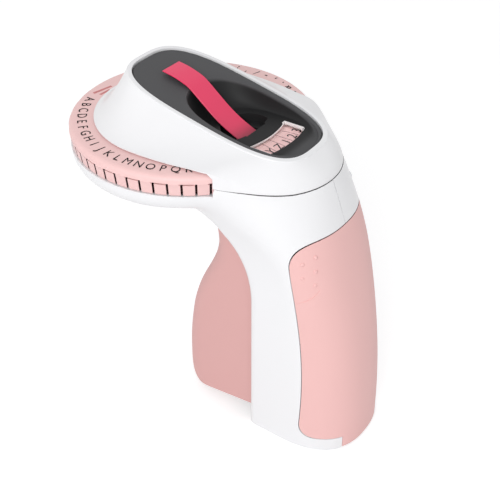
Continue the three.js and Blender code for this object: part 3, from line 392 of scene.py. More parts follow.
def grip_region(name, gap):
    wide = HANDLE.half_width + 2
    region = side_prism(name, grip_outline(gap), -wide, wide)
    tab = GRIP.tab_wide + gap
    low = -6.0 if gap else GRIP.tab_z
    carve(region, block((GRIP.tab_x - gap, -tab, low), (HANDLE.rear_x + 4, tab, GRIP.low_z + 2)), "UNION")
    return region


def table_value(table, share):
    """A smooth reading between the rows of a table of (share, value)."""
    last = len(table) - 1
    for i in range(last):
        if share <= table[i + 1][0]:
            (s0, v0), (s1, v1) = table[i], table[i + 1]
            before = table[i - 1] if i else (2 * s0 - s1, 2 * v0 - v1)
            after = table[i + 2] if i + 2 <= last else (2 * s1 - s0, 2 * v1 - v0)
            span = s1 - s0
            t = (share - s0) / span
            m0 = (v1 - before[1]) / (s1 - before[0]) * span
            m1 = (after[1] - v0) / (after[0] - s0) * span
            return eased(t, v0, v1, m0, m1)
    return table[last][1]


# Finishes.

def set_inputs(tree, node, inputs):
    """Links an input where a socket is given, and sets it where a value is given."""
    for key, value in inputs.items():
        if isinstance(value, bpy.types.NodeSocket):
            tree.links.new(value, node.inputs[key])
        else:
            node.inputs[key].default_value = value


def add_node(tree, kind, inputs, **settings):
    node = tree.nodes.new("ShaderNode" + kind)
    for key, value in settings.items():
        setattr(node, key, value)
    set_inputs(tree, node, inputs)
    return node


def new_material(name):
    material = bpy.data.materials.new(name)
    material.use_nodes = True
    return material, material.node_tree, material.node_tree.nodes["Principled BSDF"]


def object_place(tree):
    """Object coordinates, from the one node that a finish has for them."""
    place = tree.nodes.get("Texture Coordinate") or add_node(tree, "TexCoord", {})
    return place.outputs["Object"]


def noise(tree, scale, detail, stretch=None):
    place = object_place(tree)
    if stretch:
        place = add_node(tree, "Mapping", {"Scale": stretch, "Vector": place}).outputs["Vector"]
    return add_node(tree, "TexNoise", {"Scale": scale, "Detail": detail, "Vector": place}).outputs["Fac"]


NOISE_LOW, NOISE_HIGH = 0.15, 0.85


def drifting(tree, value, low, high):
    """A number that follows the noise from low to high."""
    return add_node(tree, "MapRange", {"From Min": NOISE_LOW, "From Max": NOISE_HIGH, "To Min": low, "To Max": high,
                                       "Value": value}).outputs["Result"]


def tinted(tree, value, colour, depth):
    """A colour that drifts a little lighter and darker."""
    ramp = add_node(tree, "ValToRGB", {"Fac": value})
    for element, position, share in zip(ramp.color_ramp.elements, (NOISE_LOW, NOISE_HIGH), (1 - depth, 1 + depth)):
        element.position = position
        element.color = (*[min(1.0, c * share) for c in colour], 1)
    return ramp.outputs["Color"]


def relief(tree, height, strength, distance):
    return add_node(tree, "Bump", {"Strength": strength, "Distance": distance, "Height": height}).outputs["Normal"]


def fade(tree, value, low, high):
    """0 below the first value, 1 above the second, with a soft change between."""
    return add_node(tree, "MapRange", {"From Min": low, "From Max": high, "Value": value},
                    interpolation_type="SMOOTHSTEP").outputs["Result"]


def with_painted_shade(tree, plain, share, painted_shade_colour):
    """The plain colour, led to a darker one where the share is high: painted shade."""
    return add_node(tree, "Mix", {"Factor": share, "A": plain, "B": (*painted_shade_colour, 1)},
                    data_type="RGBA").outputs["Result"]


def plastic(name, colour, roughness, grain, bump, drift, coat=0.0, specular=0.5):
    """Moulded plastic: a fine grain in the surface, and slight drift of colour and gloss."""
    material, tree, surface = new_material(name)
    slow = noise(tree, 22.0, 1.0)
    set_inputs(tree, surface, {
        "Base Color": tinted(tree, slow, colour, drift),
        "Roughness": drifting(tree, slow, roughness - 0.03, roughness + 0.03),
        "Normal": relief(tree, noise(tree, grain, 4.0), bump, 0.00004),
        "Coat Weight": coat,
        "Coat Roughness": 0.08,
        "Specular IOR Level": specular,
    })
    return material


def metal(name, colour, roughness, stretch):
    """Steel with fine drawn or rolled lines along one direction."""
    material, tree, surface = new_material(name)
    lines = noise(tree, 900.0, 3.0, stretch)
    set_inputs(tree, surface, {
        "Base Color": tinted(tree, lines, colour, 0.08),
        "Roughness": drifting(tree, lines, roughness - 0.06, roughness + 0.1),
        "Normal": relief(tree, lines, 0.15, 0.00002),
        "Metallic": 1.0,
    })
    return material


def clear_plastic(name, colour):
    material, tree, surface = new_material(name)
    set_inputs(tree, surface, {
        "Base Color": (*colour, 1),
        "Roughness": drifting(tree, noise(tree, 60.0, 3.0), 0.0, 0.01),
        "Transmission Weight": 1.0,
        "IOR": 1.08,
    })
    return material


def black_with_painted_scoop_shade(name, colour):
    """Satin black plastic, with painted shade making it darker down in the scoop below the sloping top."""
    material = plastic(name, colour, 0.5, 1200.0, 0.06, 0.06, specular=0.16)
    tree = material.node_tree
    surface = tree.nodes["Principled BSDF"]
    axes = add_node(tree, "SeparateXYZ", {0: object_place(tree)}).outputs
    top = add_node(tree, "Math", {0: axes["X"], 1: -TOP.slope, 2: top_z(0.0) * MM}, operation="MULTIPLY_ADD")
    depth = add_node(tree, "Math", {0: top.outputs[0], 1: axes["Z"]}, operation="SUBTRACT").outputs[0]
    plain = surface.inputs["Base Color"].links[0].from_socket
    # Painted shade: the colour falls to a fifth of itself from 0.2 mm to 1.2 mm below the top's level.
    deep = fade(tree, depth, 0.0002, 0.0012)
    set_inputs(tree, surface, {"Base Color": with_painted_shade(tree, plain, deep, [c * 0.2 for c in colour])})
    return material


def tape_vinyl(name, colour):
    """Soft vinyl: satin, with faint ripples across the strip, and painted shade making it darker towards the slot,
    down in the well.
    """
    material, tree, surface = new_material(name)
    slow = noise(tree, 55.0, 2.0, (1, 0.4, 1))
    along = add_node(tree, "SeparateXYZ", {0: object_place(tree)}).outputs["X"]
    # Painted shade: the colour darkens towards the slot's end of the strip.
    painted_tape_shade = fade(tree, along, -0.0005, 0.0085)
    set_inputs(tree, surface, {
        "Base Color": with_painted_shade(tree, tinted(tree, slow, colour, 0.05), painted_tape_shade, [c * 0.3 for c in colour]),
        "Roughness": drifting(tree, slow, 0.3, 0.42),
        "Normal": relief(tree, noise(tree, 420.0, 2.0, (1, 0.15, 1)), 0.08, 0.0001),
        "Coat Weight": 0.12,
        "Coat Roughness": 0.2,
    })
    return material


MADE = {}


def finish(key):
    """Each finish is made once and shared by the pieces that have it."""
    if key in MADE:
        return MADE[key]
    tones = bpy.context.scene.label_maker_finishes
    plastics = {
        "white": ("white_gloss_shell", tones.shell, 0.3, 900.0, 0.04, 0.004, 0.25),
        "pink": ("pink_matt_moulding", tones.moulding, 0.52, 2600.0, 0.3, 0.015, 0.0, 0.4),
        # The lever is the grip's pink made darker: painted shade for the lever lying under the head.
        "lever": ("pink_lever_moulding", tones.lever, 0.52, 2600.0, 0.3, 0.015, 0.0, 0.4),
        "dial": ("pink_dial_moulding", tones.dial, 0.45, 2200.0, 0.15, 0.012, 0.0, 0.4),
        # Darker pink for two flat bars on the dial's top: painted shade of two small slots.
        "dial_mark_painted_shade": ("dial_mark_moulding", shade(206, 128, 128), 0.5, 2200.0, 0.15, 0.03, 0.0, 0.3),
        # Grey for the faces inside the white seam: painted shade in the gap.
        "parting": ("shell_parting_shade", shade(96, 94, 96), 0.7, 900.0, 0.04, 0.03, 0.0, 0.1),
        # Deep pink for the grip's edge faces: painted shade in the gap round the cover.
        "pink_parting": ("grip_parting_shade", shade(112, 74, 74), 0.7, 900.0, 0.1, 0.03, 0.0, 0.1),
        # Dark brown-pink for the faces inside the dial's slots: painted shade.
        "groove": ("dial_groove_shade", shade(58, 36, 38), 0.8, 2200.0, 0.1, 0.05, 0.0, 0.05),
        # Greyish pink for the lines on the window: painted shade of the edges between the dial's fingers.
        "line": ("window_line", shade(176, 138, 140), 0.4, 900.0, 0.02, 0.02, 0.0, 0.3),
        "ink": ("black_pad_print", tones.ink, 0.6, 3000.0, 0.1, 0.1, 0.0, 0.08),
        "grey": ("grey_moulding", shade(150, 152, 156), 0.5, 1800.0, 0.15, 0.03),
        "rubber": ("black_soft_rubber", shade(40, 40, 42), 0.75, 2200.0, 0.4, 0.06),
        "frost": ("window_edge", shade(246, 240, 240), 0.2, 900.0, 0.03, 0.01, 0.5),
    }
    others = {
        "black": (black_with_painted_scoop_shade, "black_satin_insert", tones.insert),
        "tape": (tape_vinyl, "red_pink_vinyl", tones.tape),
        "clear": (clear_plastic, "clear_window_plastic", (0.99, 0.985, 0.985)),
        "dark_steel": (metal, "dark_pressed_steel", (0.3, 0.31, 0.33), 0.38, (1, 1, 0.06)),
        "bright_steel": (metal, "bright_turned_steel", (0.62, 0.63, 0.65), 0.26, (0.08, 1, 1)),
    }
    make, *values = others[key] if key in others else (plastic, *plastics[key])
    MADE[key] = make(*values)
    return MADE[key]


# White body.

def paint_shade_on_faces(piece, key, test):
    """Paints the narrow faces inside a parting line or a slot a darker colour, as painted shade."""
    piece.data.materials.append(finish(key))
    for face in piece.data.polygons:
        if test(face.center):
            face.material_index = 1


def off_line(spot, line):
    """Distance of a place from a line of points, seen from the side, in millimetres."""
    spot, best = Vector((spot.x / MM, spot.z / MM)), 99.0
    for a, b in zip(line, line[1:]):
        a, b = Vector(a), Vector(b)
        run = b - a
        share = min(1.0, max(0.0, (spot - a).dot(run) / max(run.length_squared, 1e-9)))
        best = min(best, (spot - a - run * share).length)
    return best


def near_joint(point):
    """1 where the handle meets the tray, falling to 0 some millimetres away."""
    x, y, z = (value / MM for value in point)
    along, reach, power, side = handle_part(x, z)
    ratio = ((abs(along) / reach) ** power + (abs(y) / side) ** power) ** (1 / power)
    to_handle = (ratio - 1) / max(ratio, 0.01) * math.hypot(along, y)
    radius = math.hypot(x - DIAL_X, y)
    flat = TRAY.radius - TRAY.round
    high = TRAY.bottom_z + TRAY.round
    if z >= high:
        to_tray = radius - TRAY.radius
    elif radius <= flat:
        to_tray = TRAY.bottom_z - z
    else:
        to_tray = math.hypot(radius - flat, high - z) - TRAY.round
    return smooth_step(JOINT.full - max(abs(to_handle), abs(to_tray)) / JOINT.reach)


def body_core():
    """The handle and tray as one flowing solid, a little too tall at both ends."""
    core = handle_loft("body_core", 0.0, -5.0, SEAM_Z + 5)
    low, high, r = TRAY.bottom_z, TRAY.bottom_z + TRAY.round, TRAY.radius - TRAY.round
    outline = [(0, low), (r * 0.5, low)]
    for i in range(9):
        angle = math.pi / 2 * i / 8
        outline.append((r + TRAY.round * math.sin(angle), high - TRAY.round * math.cos(angle)))
    outline += [(TRAY.radius, SEAM_Z + 5), (0, SEAM_Z + 5)]
    carve(core, lathe("dish", outline), "UNION")
    form = copy_of(core, "sharp_form")
    modify(core, "REMESH", mode="VOXEL", voxel_size=JOINT.voxel * MM, adaptivity=0.0)
    modify(core, "SHRINKWRAP", target=form, wrap_method="NEAREST_SURFACEPOINT")
    discard(form)
    modify(core, "SMOOTH", factor=0.5, iterations=JOINT.even_passes)
    group = core.vertex_groups.new(name="joint")
    for corner in core.data.vertices:
        weight = near_joint(corner.co)
        if weight > 0.001:
            group.add([corner.index], weight, "REPLACE")
    modify(core, "SMOOTH", factor=0.5, iterations=JOINT.round_passes, vertex_group="joint")
    core.vertex_groups.clear()
    return core


def body_hollow():
    """The room inside the shells: the handle's inside and the tray's, but for the tray's floor."""
    room = handle_loft("hollow", HANDLE.wall, -6.0, SEAM_Z + 6, 4.0, 96)
    low = TRAY.bottom_z
    carve(room, lathe("floor", [(0, low), (TRAY.radius, low), (TRAY.radius, low + TRAY.floor),
                                (0, low + TRAY.floor)], 96))
    edge = TRAY.radius - TRAY.wall
    r = TRAY.round - TRAY.wall
    low += TRAY.floor
    dish = lathe("dish_room", [(0, low), (edge - r, low), (edge - r / 3, low + r / 3), (edge, low + r),
                               (edge, SEAM_Z + 6), (0, SEAM_Z + 6)], 128)
    carve(room, dish, "UNION")
    return room


def make_body():
    """Cuts both shells from one core, and returns the piece of its skin that the grip cover is."""
    core = body_core()
    grip = copy_of(core, "grip_skin")
    rear_z, front_z = SEAM_Z - GAP / 2, seam_z(CLIMB.front_x) - GAP / 2
    over_seam = [(PAST.x, rear_z), (CLIMB.rear_x, rear_z), (CLIMB.front_x, front_z), (-PAST.x, front_z),
                 (-PAST.x, PAST.high_z), (PAST.x, PAST.high_z)]
    carve(core, side_prism("over_seam", over_seam, -PAST.y, PAST.y))
    carve(core, block((-PAST.x, -PAST.y, PAST.low_z), (PAST.x, PAST.y, 0)))
    outer, high = DIAL.rim + DIAL.clear, DIAL.top_z + 10
    carve(core, lathe("dial_room", [(0, TRAY.edge_z), (outer, TRAY.edge_z), (outer, high), (0, high)]))
    carve(core, body_hollow())
    close_skin(core)
    lever_room = LEVER.half_width + 2 * GAP
    carve(core, block((DIAL_X, -lever_room, -6), (LEVER.rear_x, lever_room, TRAY.bottom_z)))
    carve(core, block(*TAPE_PASSAGE))
    carve(core, grip_region("grip_opening", GAP))
    carve(core, bore(*SCREW_BORE))
    for side, name in ((1, "body_left"), (-1, "body_right")):
        half = copy_of(core, name + "_shell")
        low, high = sorted((side * GAP / 2 * 0.8, side * PAST.y))
        carve(half, block((-PAST.x, low, PAST.low_z), (PAST.x, high, PAST.high_z)), "INTERSECT")
        smooth(half)
        dress(half, "white", "frame", "white_shell", name)
        # The faces inside the seam under the cover are painted grey: painted shade in the gap.
        paint_shade_on_faces(half, "parting", lambda spot: abs(spot.z / MM + GAP / 2 - seam_z(spot.x / MM)) < ON_LINE)
    discard(core)

    carve(grip, grip_region("grip_edge", 0.0), "INTERSECT")
    carve(grip, handle_loft("grip_room", GRIP.thick, -6.0, SEAM_Z + 6, 0.0, 96))
    return grip


# Pieces of the head.

def cover_rings(inset, low, top_grow, top_rise, rows=44):
    """Rings from the seam up to the insert, clear of the dial's top, with flanks that differ front and rear."""
    base = plan_curve(DIAL_X, HEAD.front - inset, HEAD.rear_x - DIAL_X - inset, HEAD.half_width - inset,
                      HEAD.front_power, HEAD.rear_power, ROUND)
    crown = top_ring(top_grow, top_rise)
    over_dial = DIAL.top_z + DIAL.clear
    rear_x = DIAL_X + DIAL.rim + 6
    front_x = rear_x - DIAL.rim / 2
    base = [(x, y + math.copysign(flare(x, SEAM_Z), y)) for x, y in base]
    rings = [[(x, y, low + seam_z(x) - SEAM_Z) for x, y in base]]
    for row in range(rows + 1):
        share = row / rows
        ring = []
        for i, (x, y) in enumerate(base):
            c = math.cos(TURN * i / ROUND)
            bend = 0.85 + (0.75 if c > 0 else -0.25) * c * c
            back = smooth_step((rear_x - x) / (rear_x - front_x))
            start = seam_z(x) + GAP + (over_dial - seam_z(x)) * back
            ring.append((*between((x, y), crown[i], share ** bend), start + (crown[i][2] - start) * share))
        rings.append(ring)
    return rings


def make_cover():
    """The cover, with its rounded lip round the insert and its room above the dial."""
    rings = cover_rings(0.0, SEAM_Z + GAP / 2, TOP.lip + TOP.lip_rise, 0.0)
    for angle in (20, 45, 70, 90):
        part = math.radians(angle)
        rings.append(top_ring(TOP.lip + TOP.lip_rise * math.cos(part), TOP.lip_rise * math.sin(part)))
    rings.append(top_ring(GAP + TOP.edge, TOP.lip_rise))
    cover = skin("cover_shell", rings)
    inner = cover_rings(HEAD.wall, SEAM_Z - 3, GAP, -TOP.skin)
    inner.append(top_ring(GAP, 3.0))
    carve(cover, skin("cover_room", inner))
    outer, over = DIAL.rim + DIAL.clear, DIAL.top_z + DIAL.clear
    carve(cover, lathe("dial_room", [(0, 90), (outer, 90), (outer, 109.6), (outer - 0.85, over), (0, over)]))
    smooth(cover, 30)
    dress(cover, "white", "frame", "white_shell", "top_cover")


def make_insert():
    """The black moulding, from its underside over the rim of the scoop down to the scoop's floor."""
    edge, floor_z = RECESS.edge, TOP.floor_z
    rim = oval(RECESS.rim_x, RECESS.rim_half, RECESS.rim_wide, RECESS.power)
    lip = oval(RECESS.rim_x, RECESS.rim_half + edge * 0.25, RECESS.rim_wide + edge, RECESS.power)
    floor = oval(RECESS.floor_x, RECESS.floor_half, RECESS.floor_wide, RECESS.power)
    outer = top_ring(-TOP.edge, 0.0)
    rings = [[(x, y, floor_z - 1.0) for x, y, z in top_ring(0.0, 0.0)], top_ring(0.0, -TOP.edge), outer]
    for share in (0.35, 0.7, 1.0):
        rings.append([(x, y, top_z(x)) for x, y in (between(a, b, share) for a, b in zip(outer, lip))])
    for i in range(1, 6):
        angle = math.pi / 2 * i / 5
        grow, drop = 1 - math.sin(angle), 1 - math.cos(angle)
        rings.append([(x, y, top_z(x) - edge * drop) for x, y in (between(r, l, grow) for r, l in zip(rim, lip))])
    for i in range(1, 17):
        ring = []
        for low_spot, rim_spot in zip(floor, rim):
            rise = max(0.0, top_z(rim_spot[0]) - floor_z)
            first = math.sqrt(max(0.0, rise - edge) / rise) if rise else 0.0
            share = first * (1 - i / 16)
            ring.append((*between(low_spot, rim_spot, share), floor_z + rise * share * share))
        rings.append(ring)
    for share in (0.7, 0.35):
        rings.append([(*between((RECESS.floor_x, 0), spot, share), floor_z) for spot in floor])
    insert = skin("insert_moulding", rings)
    carve(insert, well_form("well_wall", WELL.wall, WELL.floor_z - WELL.wall, floor_z - 0.5), "UNION")
    carve(insert, well_form("well_room", 0.0, WELL.floor_z, floor_z + 2))
    carve(insert, block((WELL.slot_front, -WELL.slot_wide, 100), (WELL.slot_rear, WELL.slot_wide, 118)))
    carve(insert, window_strip("window_room", 0.0, 100, 120))
    smooth(insert, 30)
    dress(insert, "black", "frame", "black_plastic", "top_insert")


def well_form(name, grow, low, high, steps=96):
    """The round well under the tape, its rear side following the dial's inner edge."""
    outline = []
    for i in range(steps):
        x, y = on_circle(WELL.radius + grow, TURN * i / steps, WELL.x)
        share = min(1.0, (WELL.rear + grow) / math.hypot(x - DIAL_X, y))
        outline.append(between((DIAL_X, 0), (x, y), share))
    return prism(name, outline, low, high)


def window_strip(name, shrink, low, high, outward=0.0, steps=24):
    """A stretch of ring under the selected letters, cut straight at both ends."""
    outline = []
    for radius, way in ((WINDOW.outer - shrink + outward, 1), (WINDOW.inner + shrink, -1)):
        reach = math.asin((WINDOW.half_width - shrink) / radius) * way
        outline += [on_circle(radius, reach * (2 * i / steps - 1)) for i in range(steps + 1)]
    return prism(name, outline, low, high)


def make_window():
    """The clear pane, its pale border with a small bracket, and thin darker lines on it that are painted shade for the
    edges between the dial's fingers.
    """
    high = TOP.floor_z - GAP
    low = high - WINDOW.thick
    edge = window_strip("window_edge", GAP * 0.5, low, high + 0.15)
    carve(edge, window_strip("pane_room", GAP * 0.5 + WINDOW.border, low - 1, high + 1, 3.0))
    wide = WINDOW.half_width - 0.35
    front, rear = (math.sqrt(radius ** 2 - wide ** 2) + DIAL_X for radius in (WINDOW.inner, WINDOW.outer))
    front, rear = front + 0.3, rear - 0.3
    for low_corner, high_corner in (((front, wide - 0.5, high - 0.5), (rear, wide - 0.05, high + 0.65)),
                                    ((front, wide - 1.5, high - 0.5), (front + 0.45, wide - 0.2, high + 0.65)),
                                    ((rear - 0.45, wide - 1.1, high - 0.5), (rear, wide - 0.2, high + 0.65))):
        carve(edge, block(low_corner, high_corner), "UNION")
    modify(edge, "BEVEL", width=0.06 * MM, segments=1, limit_method="ANGLE")
    smooth(edge, 40)
    dress(edge, "frost", "frame", "clear_plastic")
    pane = window_strip("window_pane", GAP * 0.5 + WINDOW.border + 0.02, low, high)
    smooth(pane, 40)
    dress(pane, "clear", "frame", "clear_plastic", "window_lens")
    # The lines are painted shade: they stand for the shaded edges between the dial's letter fingers, which this dial
    # doesn't have.
    ribs = []
    for i in (-1.5, -0.5, 0.5, 1.5):
        finger_shade_line = block((WINDOW.inner + 0.6, -0.06, high - 0.1), (WINDOW.outer - 0.6, 0.06, high + 0.06))
        finger_shade_line.data.transform(Matrix.Rotation(PITCH * i + LETTER_TURN, 4, "Z"))
        finger_shade_line.data.transform(Matrix.Translation((DIAL_X * MM, 0, 0)))
        ribs.append(finger_shade_line)
    dress(joined(ribs, "window_finger_edge_shade"), "line", "frame", "clear_plastic")


# The dial.

PITCH = TURN / DIAL.places
FIRST_LETTER = math.radians(200.4)
LETTER_TURN = FIRST_LETTER + PITCH * 25.5 - TURN  # between the two letters under the middle of the window
SIGNS = "ABCDEFGHIJKLMNOPQRSTUVWXYZ1234567890&.,-/'!?+=%#()        "
# Ends of two flat darker bars, seen from above: painted shade for two small slots in the dial's top.
SLOT_SHADE_BARS = (((-55.1, -8.9), (-53.6, -1.2)), ((-52.4, -8.5), (-52.1, -3.6)))


def make_dial():
    """The wheel: one closed ring whose rim is cut into blocks by upright slots.

    The steps are the corners of one place, in shares of the pitch: both walls of its slot, then along its block. The
    outline runs from the inner edge over the top, down the rim and back below the web.
    """
    depth, top_groove, scallop = bpy.context.scene.label_maker_sizes.slot_depth / MM, 0.7, 0.08
    steps = (-0.082, -0.072, 0.072, 0.082, 0.2, 0.36, 0.5, 0.64, 0.8)
    rim, top, low, slot, web = DIAL.rim, DIAL.top_z, DIAL.low_z, DIAL.slot_top, DIAL.web_z
    outline = [(DIAL.inner, top), (32.0, 110.82), (DIAL.letters, DIAL.letter_z), (40.2, 110.55), (41.1, 110.35),
               (41.65, 109.95), (42.0, 109.5), (rim, 109.0), (rim, slot + 0.12), (rim - 0.02, slot),
               (rim - 0.1, slot - 0.04), (rim - 0.11, slot - 0.5), (rim - 0.13, slot - 0.54), (rim - 0.35, 106.0),
               (41.55, 104.0), (41.4, low), (39.7, low), (39.7, web), (34.6, web), (34.6, 108.2), (30.4, 108.2),
               (30.4, web), (DIAL.inner, web), (DIAL.inner, top)]
    start = FIRST_LETTER + PITCH / 2
    rings = []
    for row, (radius, z) in enumerate(outline):
        ring = []
        for place in range(DIAL.places):
            for step in steps:
                r = radius
                if 9 < row < 16:
                    if abs(step) < 0.078:
                        r = radius - depth
                    elif place % 2 == 0 and row < 12:
                        r = radius - top_groove
                if 5 <= row <= 8 and place % 2 == 1:
                    r = radius - scallop * smooth_step(min(step + 0.1, 1.0 - step) * 4)
                ring.append((*on_circle(r, start + TURN * (place + step) / DIAL.places), z))
        rings.append(ring)
    wheel = skin("dial_wheel", rings)
    smooth(wheel, 28)
    dress(wheel, "dial", "dial", "dial_plastic", "dial_ring")

    def in_slot(spot):
        x, y, z = (value / MM for value in spot)
        wall = rim - 0.35 * min(1.0, (slot - z) / 2) - 0.45
        return low + 0.1 < z < slot + 0.02 and 40.0 < math.hypot(x - DIAL_X, y) < wall

    # Faces inside the slots and the grooves over alternate blocks are painted dark: painted shade.
    paint_shade_on_faces(wheel, "groove", in_slot)


def make_letters():
    """The characters on the dial, their tops towards its middle."""
    if len(SIGNS) != DIAL.places:
        raise RuntimeError(f"{len(SIGNS)} characters for {DIAL.places} places")
    sizes = bpy.context.scene.label_maker_sizes
    signs = []
    for k, sign in enumerate(SIGNS):
        if sign == " ":
            continue
        drop_selection()
        bpy.ops.object.text_add(location=(0, 0, 0))
        text = bpy.context.view_layer.objects.active
        text.data.body = sign
        text.data.size = sizes.letter_size
        text.data.align_x = "CENTER"
        text.data.align_y = "BOTTOM_BASELINE"
        text.data.extrude = 0.03 * MM
        text.data.resolution_u = 4
        bpy.ops.object.convert(target="MESH")
        text = bpy.context.view_layer.objects.active
        angle = FIRST_LETTER + PITCH * k
        turn = math.atan2(math.cos(angle), -math.sin(angle))
        x, y = on_circle(DIAL.letters, angle)
        place = Matrix.Translation((x * MM, y * MM, (DIAL.letter_z + 0.02) * MM))
        shift = Matrix.Translation((0, -0.36 * sizes.letter_size, 0))
        text.data.transform(place @ Matrix.Rotation(turn, 4, "Z") @ Matrix.Diagonal((0.86, 1, 1, 1)) @ shift)
        signs.append(text)
    dress(joined(signs, "dial_letters"), "ink", "dial", "black_plastic")
    # Two flat bars of darker pink on the dial's top: painted shade for two small slots there.
    bars = []
    for start, end in SLOT_SHADE_BARS:
        run = Vector((end[0] - start[0], end[1] - start[1]))
        z = DIAL.letter_z + 0.06
        bar = block((0, -0.5, z - 0.1), (run.length, 0.5, z + 0.02))
        bar.data.transform(Matrix.Translation((start[0] * MM, start[1] * MM, 0))
                           @ Matrix.Rotation(math.atan2(run.y, run.x), 4, "Z"))
        bars.append(bar)
    dress(joined(bars, "dial_slot_shade_marks"), "dial_mark_painted_shade", "dial", "dial_plastic")


# Lever, grip and tape.

LEVER_FACE = [(0, .27), (.008, .165), (.018, .1), (.045, .04), (.083, .012), (.135, .006), (.248, .024), (.362, .096),
              (.449, .186), (.539, .347), (.651, .635), (.718, .778), (.769, .838), (.805, .838), (.849, .808),
              (.888, .808), (.931, .88), (.964, .94), (1, 1)]
LEVER_BACK = [(0, 1), (.85, 1), (.91, .97), (.95, .84), (.98, .65), (1, .4)]


def lever_loft(name, inset, reach, count=112):
    """The lever's form, its rings closer together at its rounded foot."""
    rings = []
    low, high = LEVER.low_front, LEVER.top_z
    shares = [i / 400 for i in range(0, 20)] + [0.05 + 0.95 * i / 56 for i in range(57)]
    for share in shares:
        front_x = LEVER.belly_x + (LEVER.top_x - LEVER.belly_x) * table_value(LEVER_FACE, share) + inset
        back = min(1.0, table_value(LEVER_BACK, share)) if share > 0.85 else 1.0
        rear_x = LEVER.pivot_x + (LEVER.rear_x - LEVER.pivot_x) * back + reach
        middle = min(front_x + LEVER.corner * 1.6, rear_x - LEVER.wall)
        curve = plan_curve(middle, middle - front_x, rear_x - middle, LEVER.half_width - inset,
                           LEVER.face_power, HANDLE.front_power, count)
        rings.append([(x, y, low + (high - low) * share) for x, y in curve])
    if inset:
        rings.append([(x, y, z + 2) for x, y, z in rings[-1]])
    return skin(name, rings)


def below_lever(lift):
    """All that lies below the lever's sloping lower edge."""
    wide = 50.0
    slope = (LEVER.low_rear - LEVER.low_front) / (LEVER.rear_x - LEVER.belly_x)
    front_x, rear_x = LEVER.belly_x - 2, LEVER.rear_x + 43
    outline = [(front_x, LEVER.low_front + lift - slope * 2), (front_x, -wide), (rear_x, -wide),
               (rear_x, LEVER.low_front + lift + slope * (rear_x - LEVER.belly_x))]
    return side_prism("below_lever", outline, -wide, wide)


def make_lever():
    lever = lever_loft("lever_moulding", 0.0, 0.0)
    carve(lever, below_lever(0.0))
    inner = lever_loft("lever_room", LEVER.wall, 24.0, 96)
    carve(inner, below_lever(LEVER.wall))
    carve(lever, inner)
    inside = LEVER.half_width - LEVER.wall - GAP
    carve(lever, block((LEVER.open_front, -inside, 0), (LEVER.open_rear, inside, LEVER.open_top)))
    smooth(lever, 30)
    dress(lever, "lever", "lever", "pink_shell", "squeeze_lever")


GRIP_DOTS = [(42.23, 83.43), (39.62, 81.73), (43.1, 78.79), (40.16, 76.77), (43.7, 73.96)]
GRIP_CREASE = [(39.05, 66.85), (40.4, 67.35), (41.64, 67.98), (42.7, 68.75), (43.64, 69.63), (44.35, 70.5),
               (44.91, 71.38), (45.2, 72.2), (45.35, 73.03)]


def finish_grip(grip):
    """Adds the raised dots and the fine crease to the near side of the grip cover."""
    sizes = bpy.context.scene.label_maker_sizes
    for x, z in GRIP_DOTS:
        drop_selection()
        bpy.ops.mesh.primitive_uv_sphere_add(segments=16, ring_count=10, radius=sizes.dot_radius,
                                             location=(x * MM, (0.45 - handle_side(x, z)) * MM, z * MM))
        dot = named("grip_dot")
        fix_place(dot)
        carve(grip, dot, "UNION")
    rings = []
    for i, (x, z) in enumerate(GRIP_CREASE):
        before, after = GRIP_CREASE[max(0, i - 1)], GRIP_CREASE[min(len(GRIP_CREASE) - 1, i + 1)]
        across = Vector((before[1] - after[1], after[0] - before[0])).normalized()
        reach = sizes.crease_radius / MM * math.sin(math.pi * (i + 0.35) / (len(GRIP_CREASE) - 0.3))
        ring = []
        for k in range(8):
            out, deep = on_circle(reach, TURN * k / 8, 0.0)
            ring.append((x + across.x * out, deep - handle_side(x, z), z + across.y * out))
        rings.append(ring)
    carve(grip, skin("crease", rings))
    smooth(grip)
    grip.name = "grip_moulding"
    grip.data.name = "grip_moulding"
    dress(grip, "pink", "cover", "pink_shell", "grip_cover")
    edge = grip_outline(0.0)[2:-1]
    # The grip's edge faces are painted a deep pink: painted shade in the gap round it.
    paint_shade_on_faces(grip, "pink_parting", lambda spot: off_line(spot, edge) < ON_LINE)


TAPE_RISE = [(0, .0145), (.115, .0957), (.2457, .1854), (.4033, .3063), (.5967, .5025), (.7827, .736), (1, 1)]
TAPE_END = [(.287, .434), (.628, .786), (1, 1)]


def tape_line():
    """The middle of the strip, in X and Z, from the roll to its free end."""
    points = [(TAPE.up_x, z) for z in (TAPE.roll_z, TAPE.roller_z, TAPE.rise_z)]
    points += [on_circle(TAPE.turn, math.pi / 2 * i / 5, TAPE.up_x - TAPE.turn, TAPE.level_z - TAPE.turn)
               for i in range(6)]
    points.append((TAPE.level_x, TAPE.level_z))
    rim_x = RECESS.rim_x - RECESS.rim_half
    slot, rim = (TAPE.slot_x, TAPE.level_z), (rim_x, top_z(rim_x) + TAPE.rim_lift)
    end = (TAPE.end_x, top_z(TAPE.end_x) + TAPE.end_lift)
    for start, stop, shares in ((slot, rim, TAPE_RISE), (rim, end, TAPE_END)):
        points += [(start[0] + (stop[0] - start[0]) * along, start[1] + (stop[1] - start[1]) * up)
                   for along, up in shares]
    line = [points[0]]
    for i in range(len(points) - 1):
        p0, p1 = points[max(0, i - 1)], points[i]
        p2, p3 = points[i + 1], points[min(len(points) - 1, i + 2)]
        near, far, next_far = (max(math.dist(a, b), 1e-6) ** 0.5 for a, b in ((p0, p1), (p1, p2), (p2, p3)))
        for step in range(1, 11):
            t = step / 10
            spot = []
            for a, b, c, d in zip(p0, p1, p2, p3):
                m1 = (b - a) / near - (c - a) / (near + far) + (c - b) / far if i else (c - b) / far
                m2 = ((c - b) / far - (d - b) / (far + next_far) + (d - c) / next_far
                      if i < len(points) - 2 else (c - b) / far)
                spot.append(eased(t, b, c, m1 * far, m2 * far))
            line.append(tuple(spot))
    return line


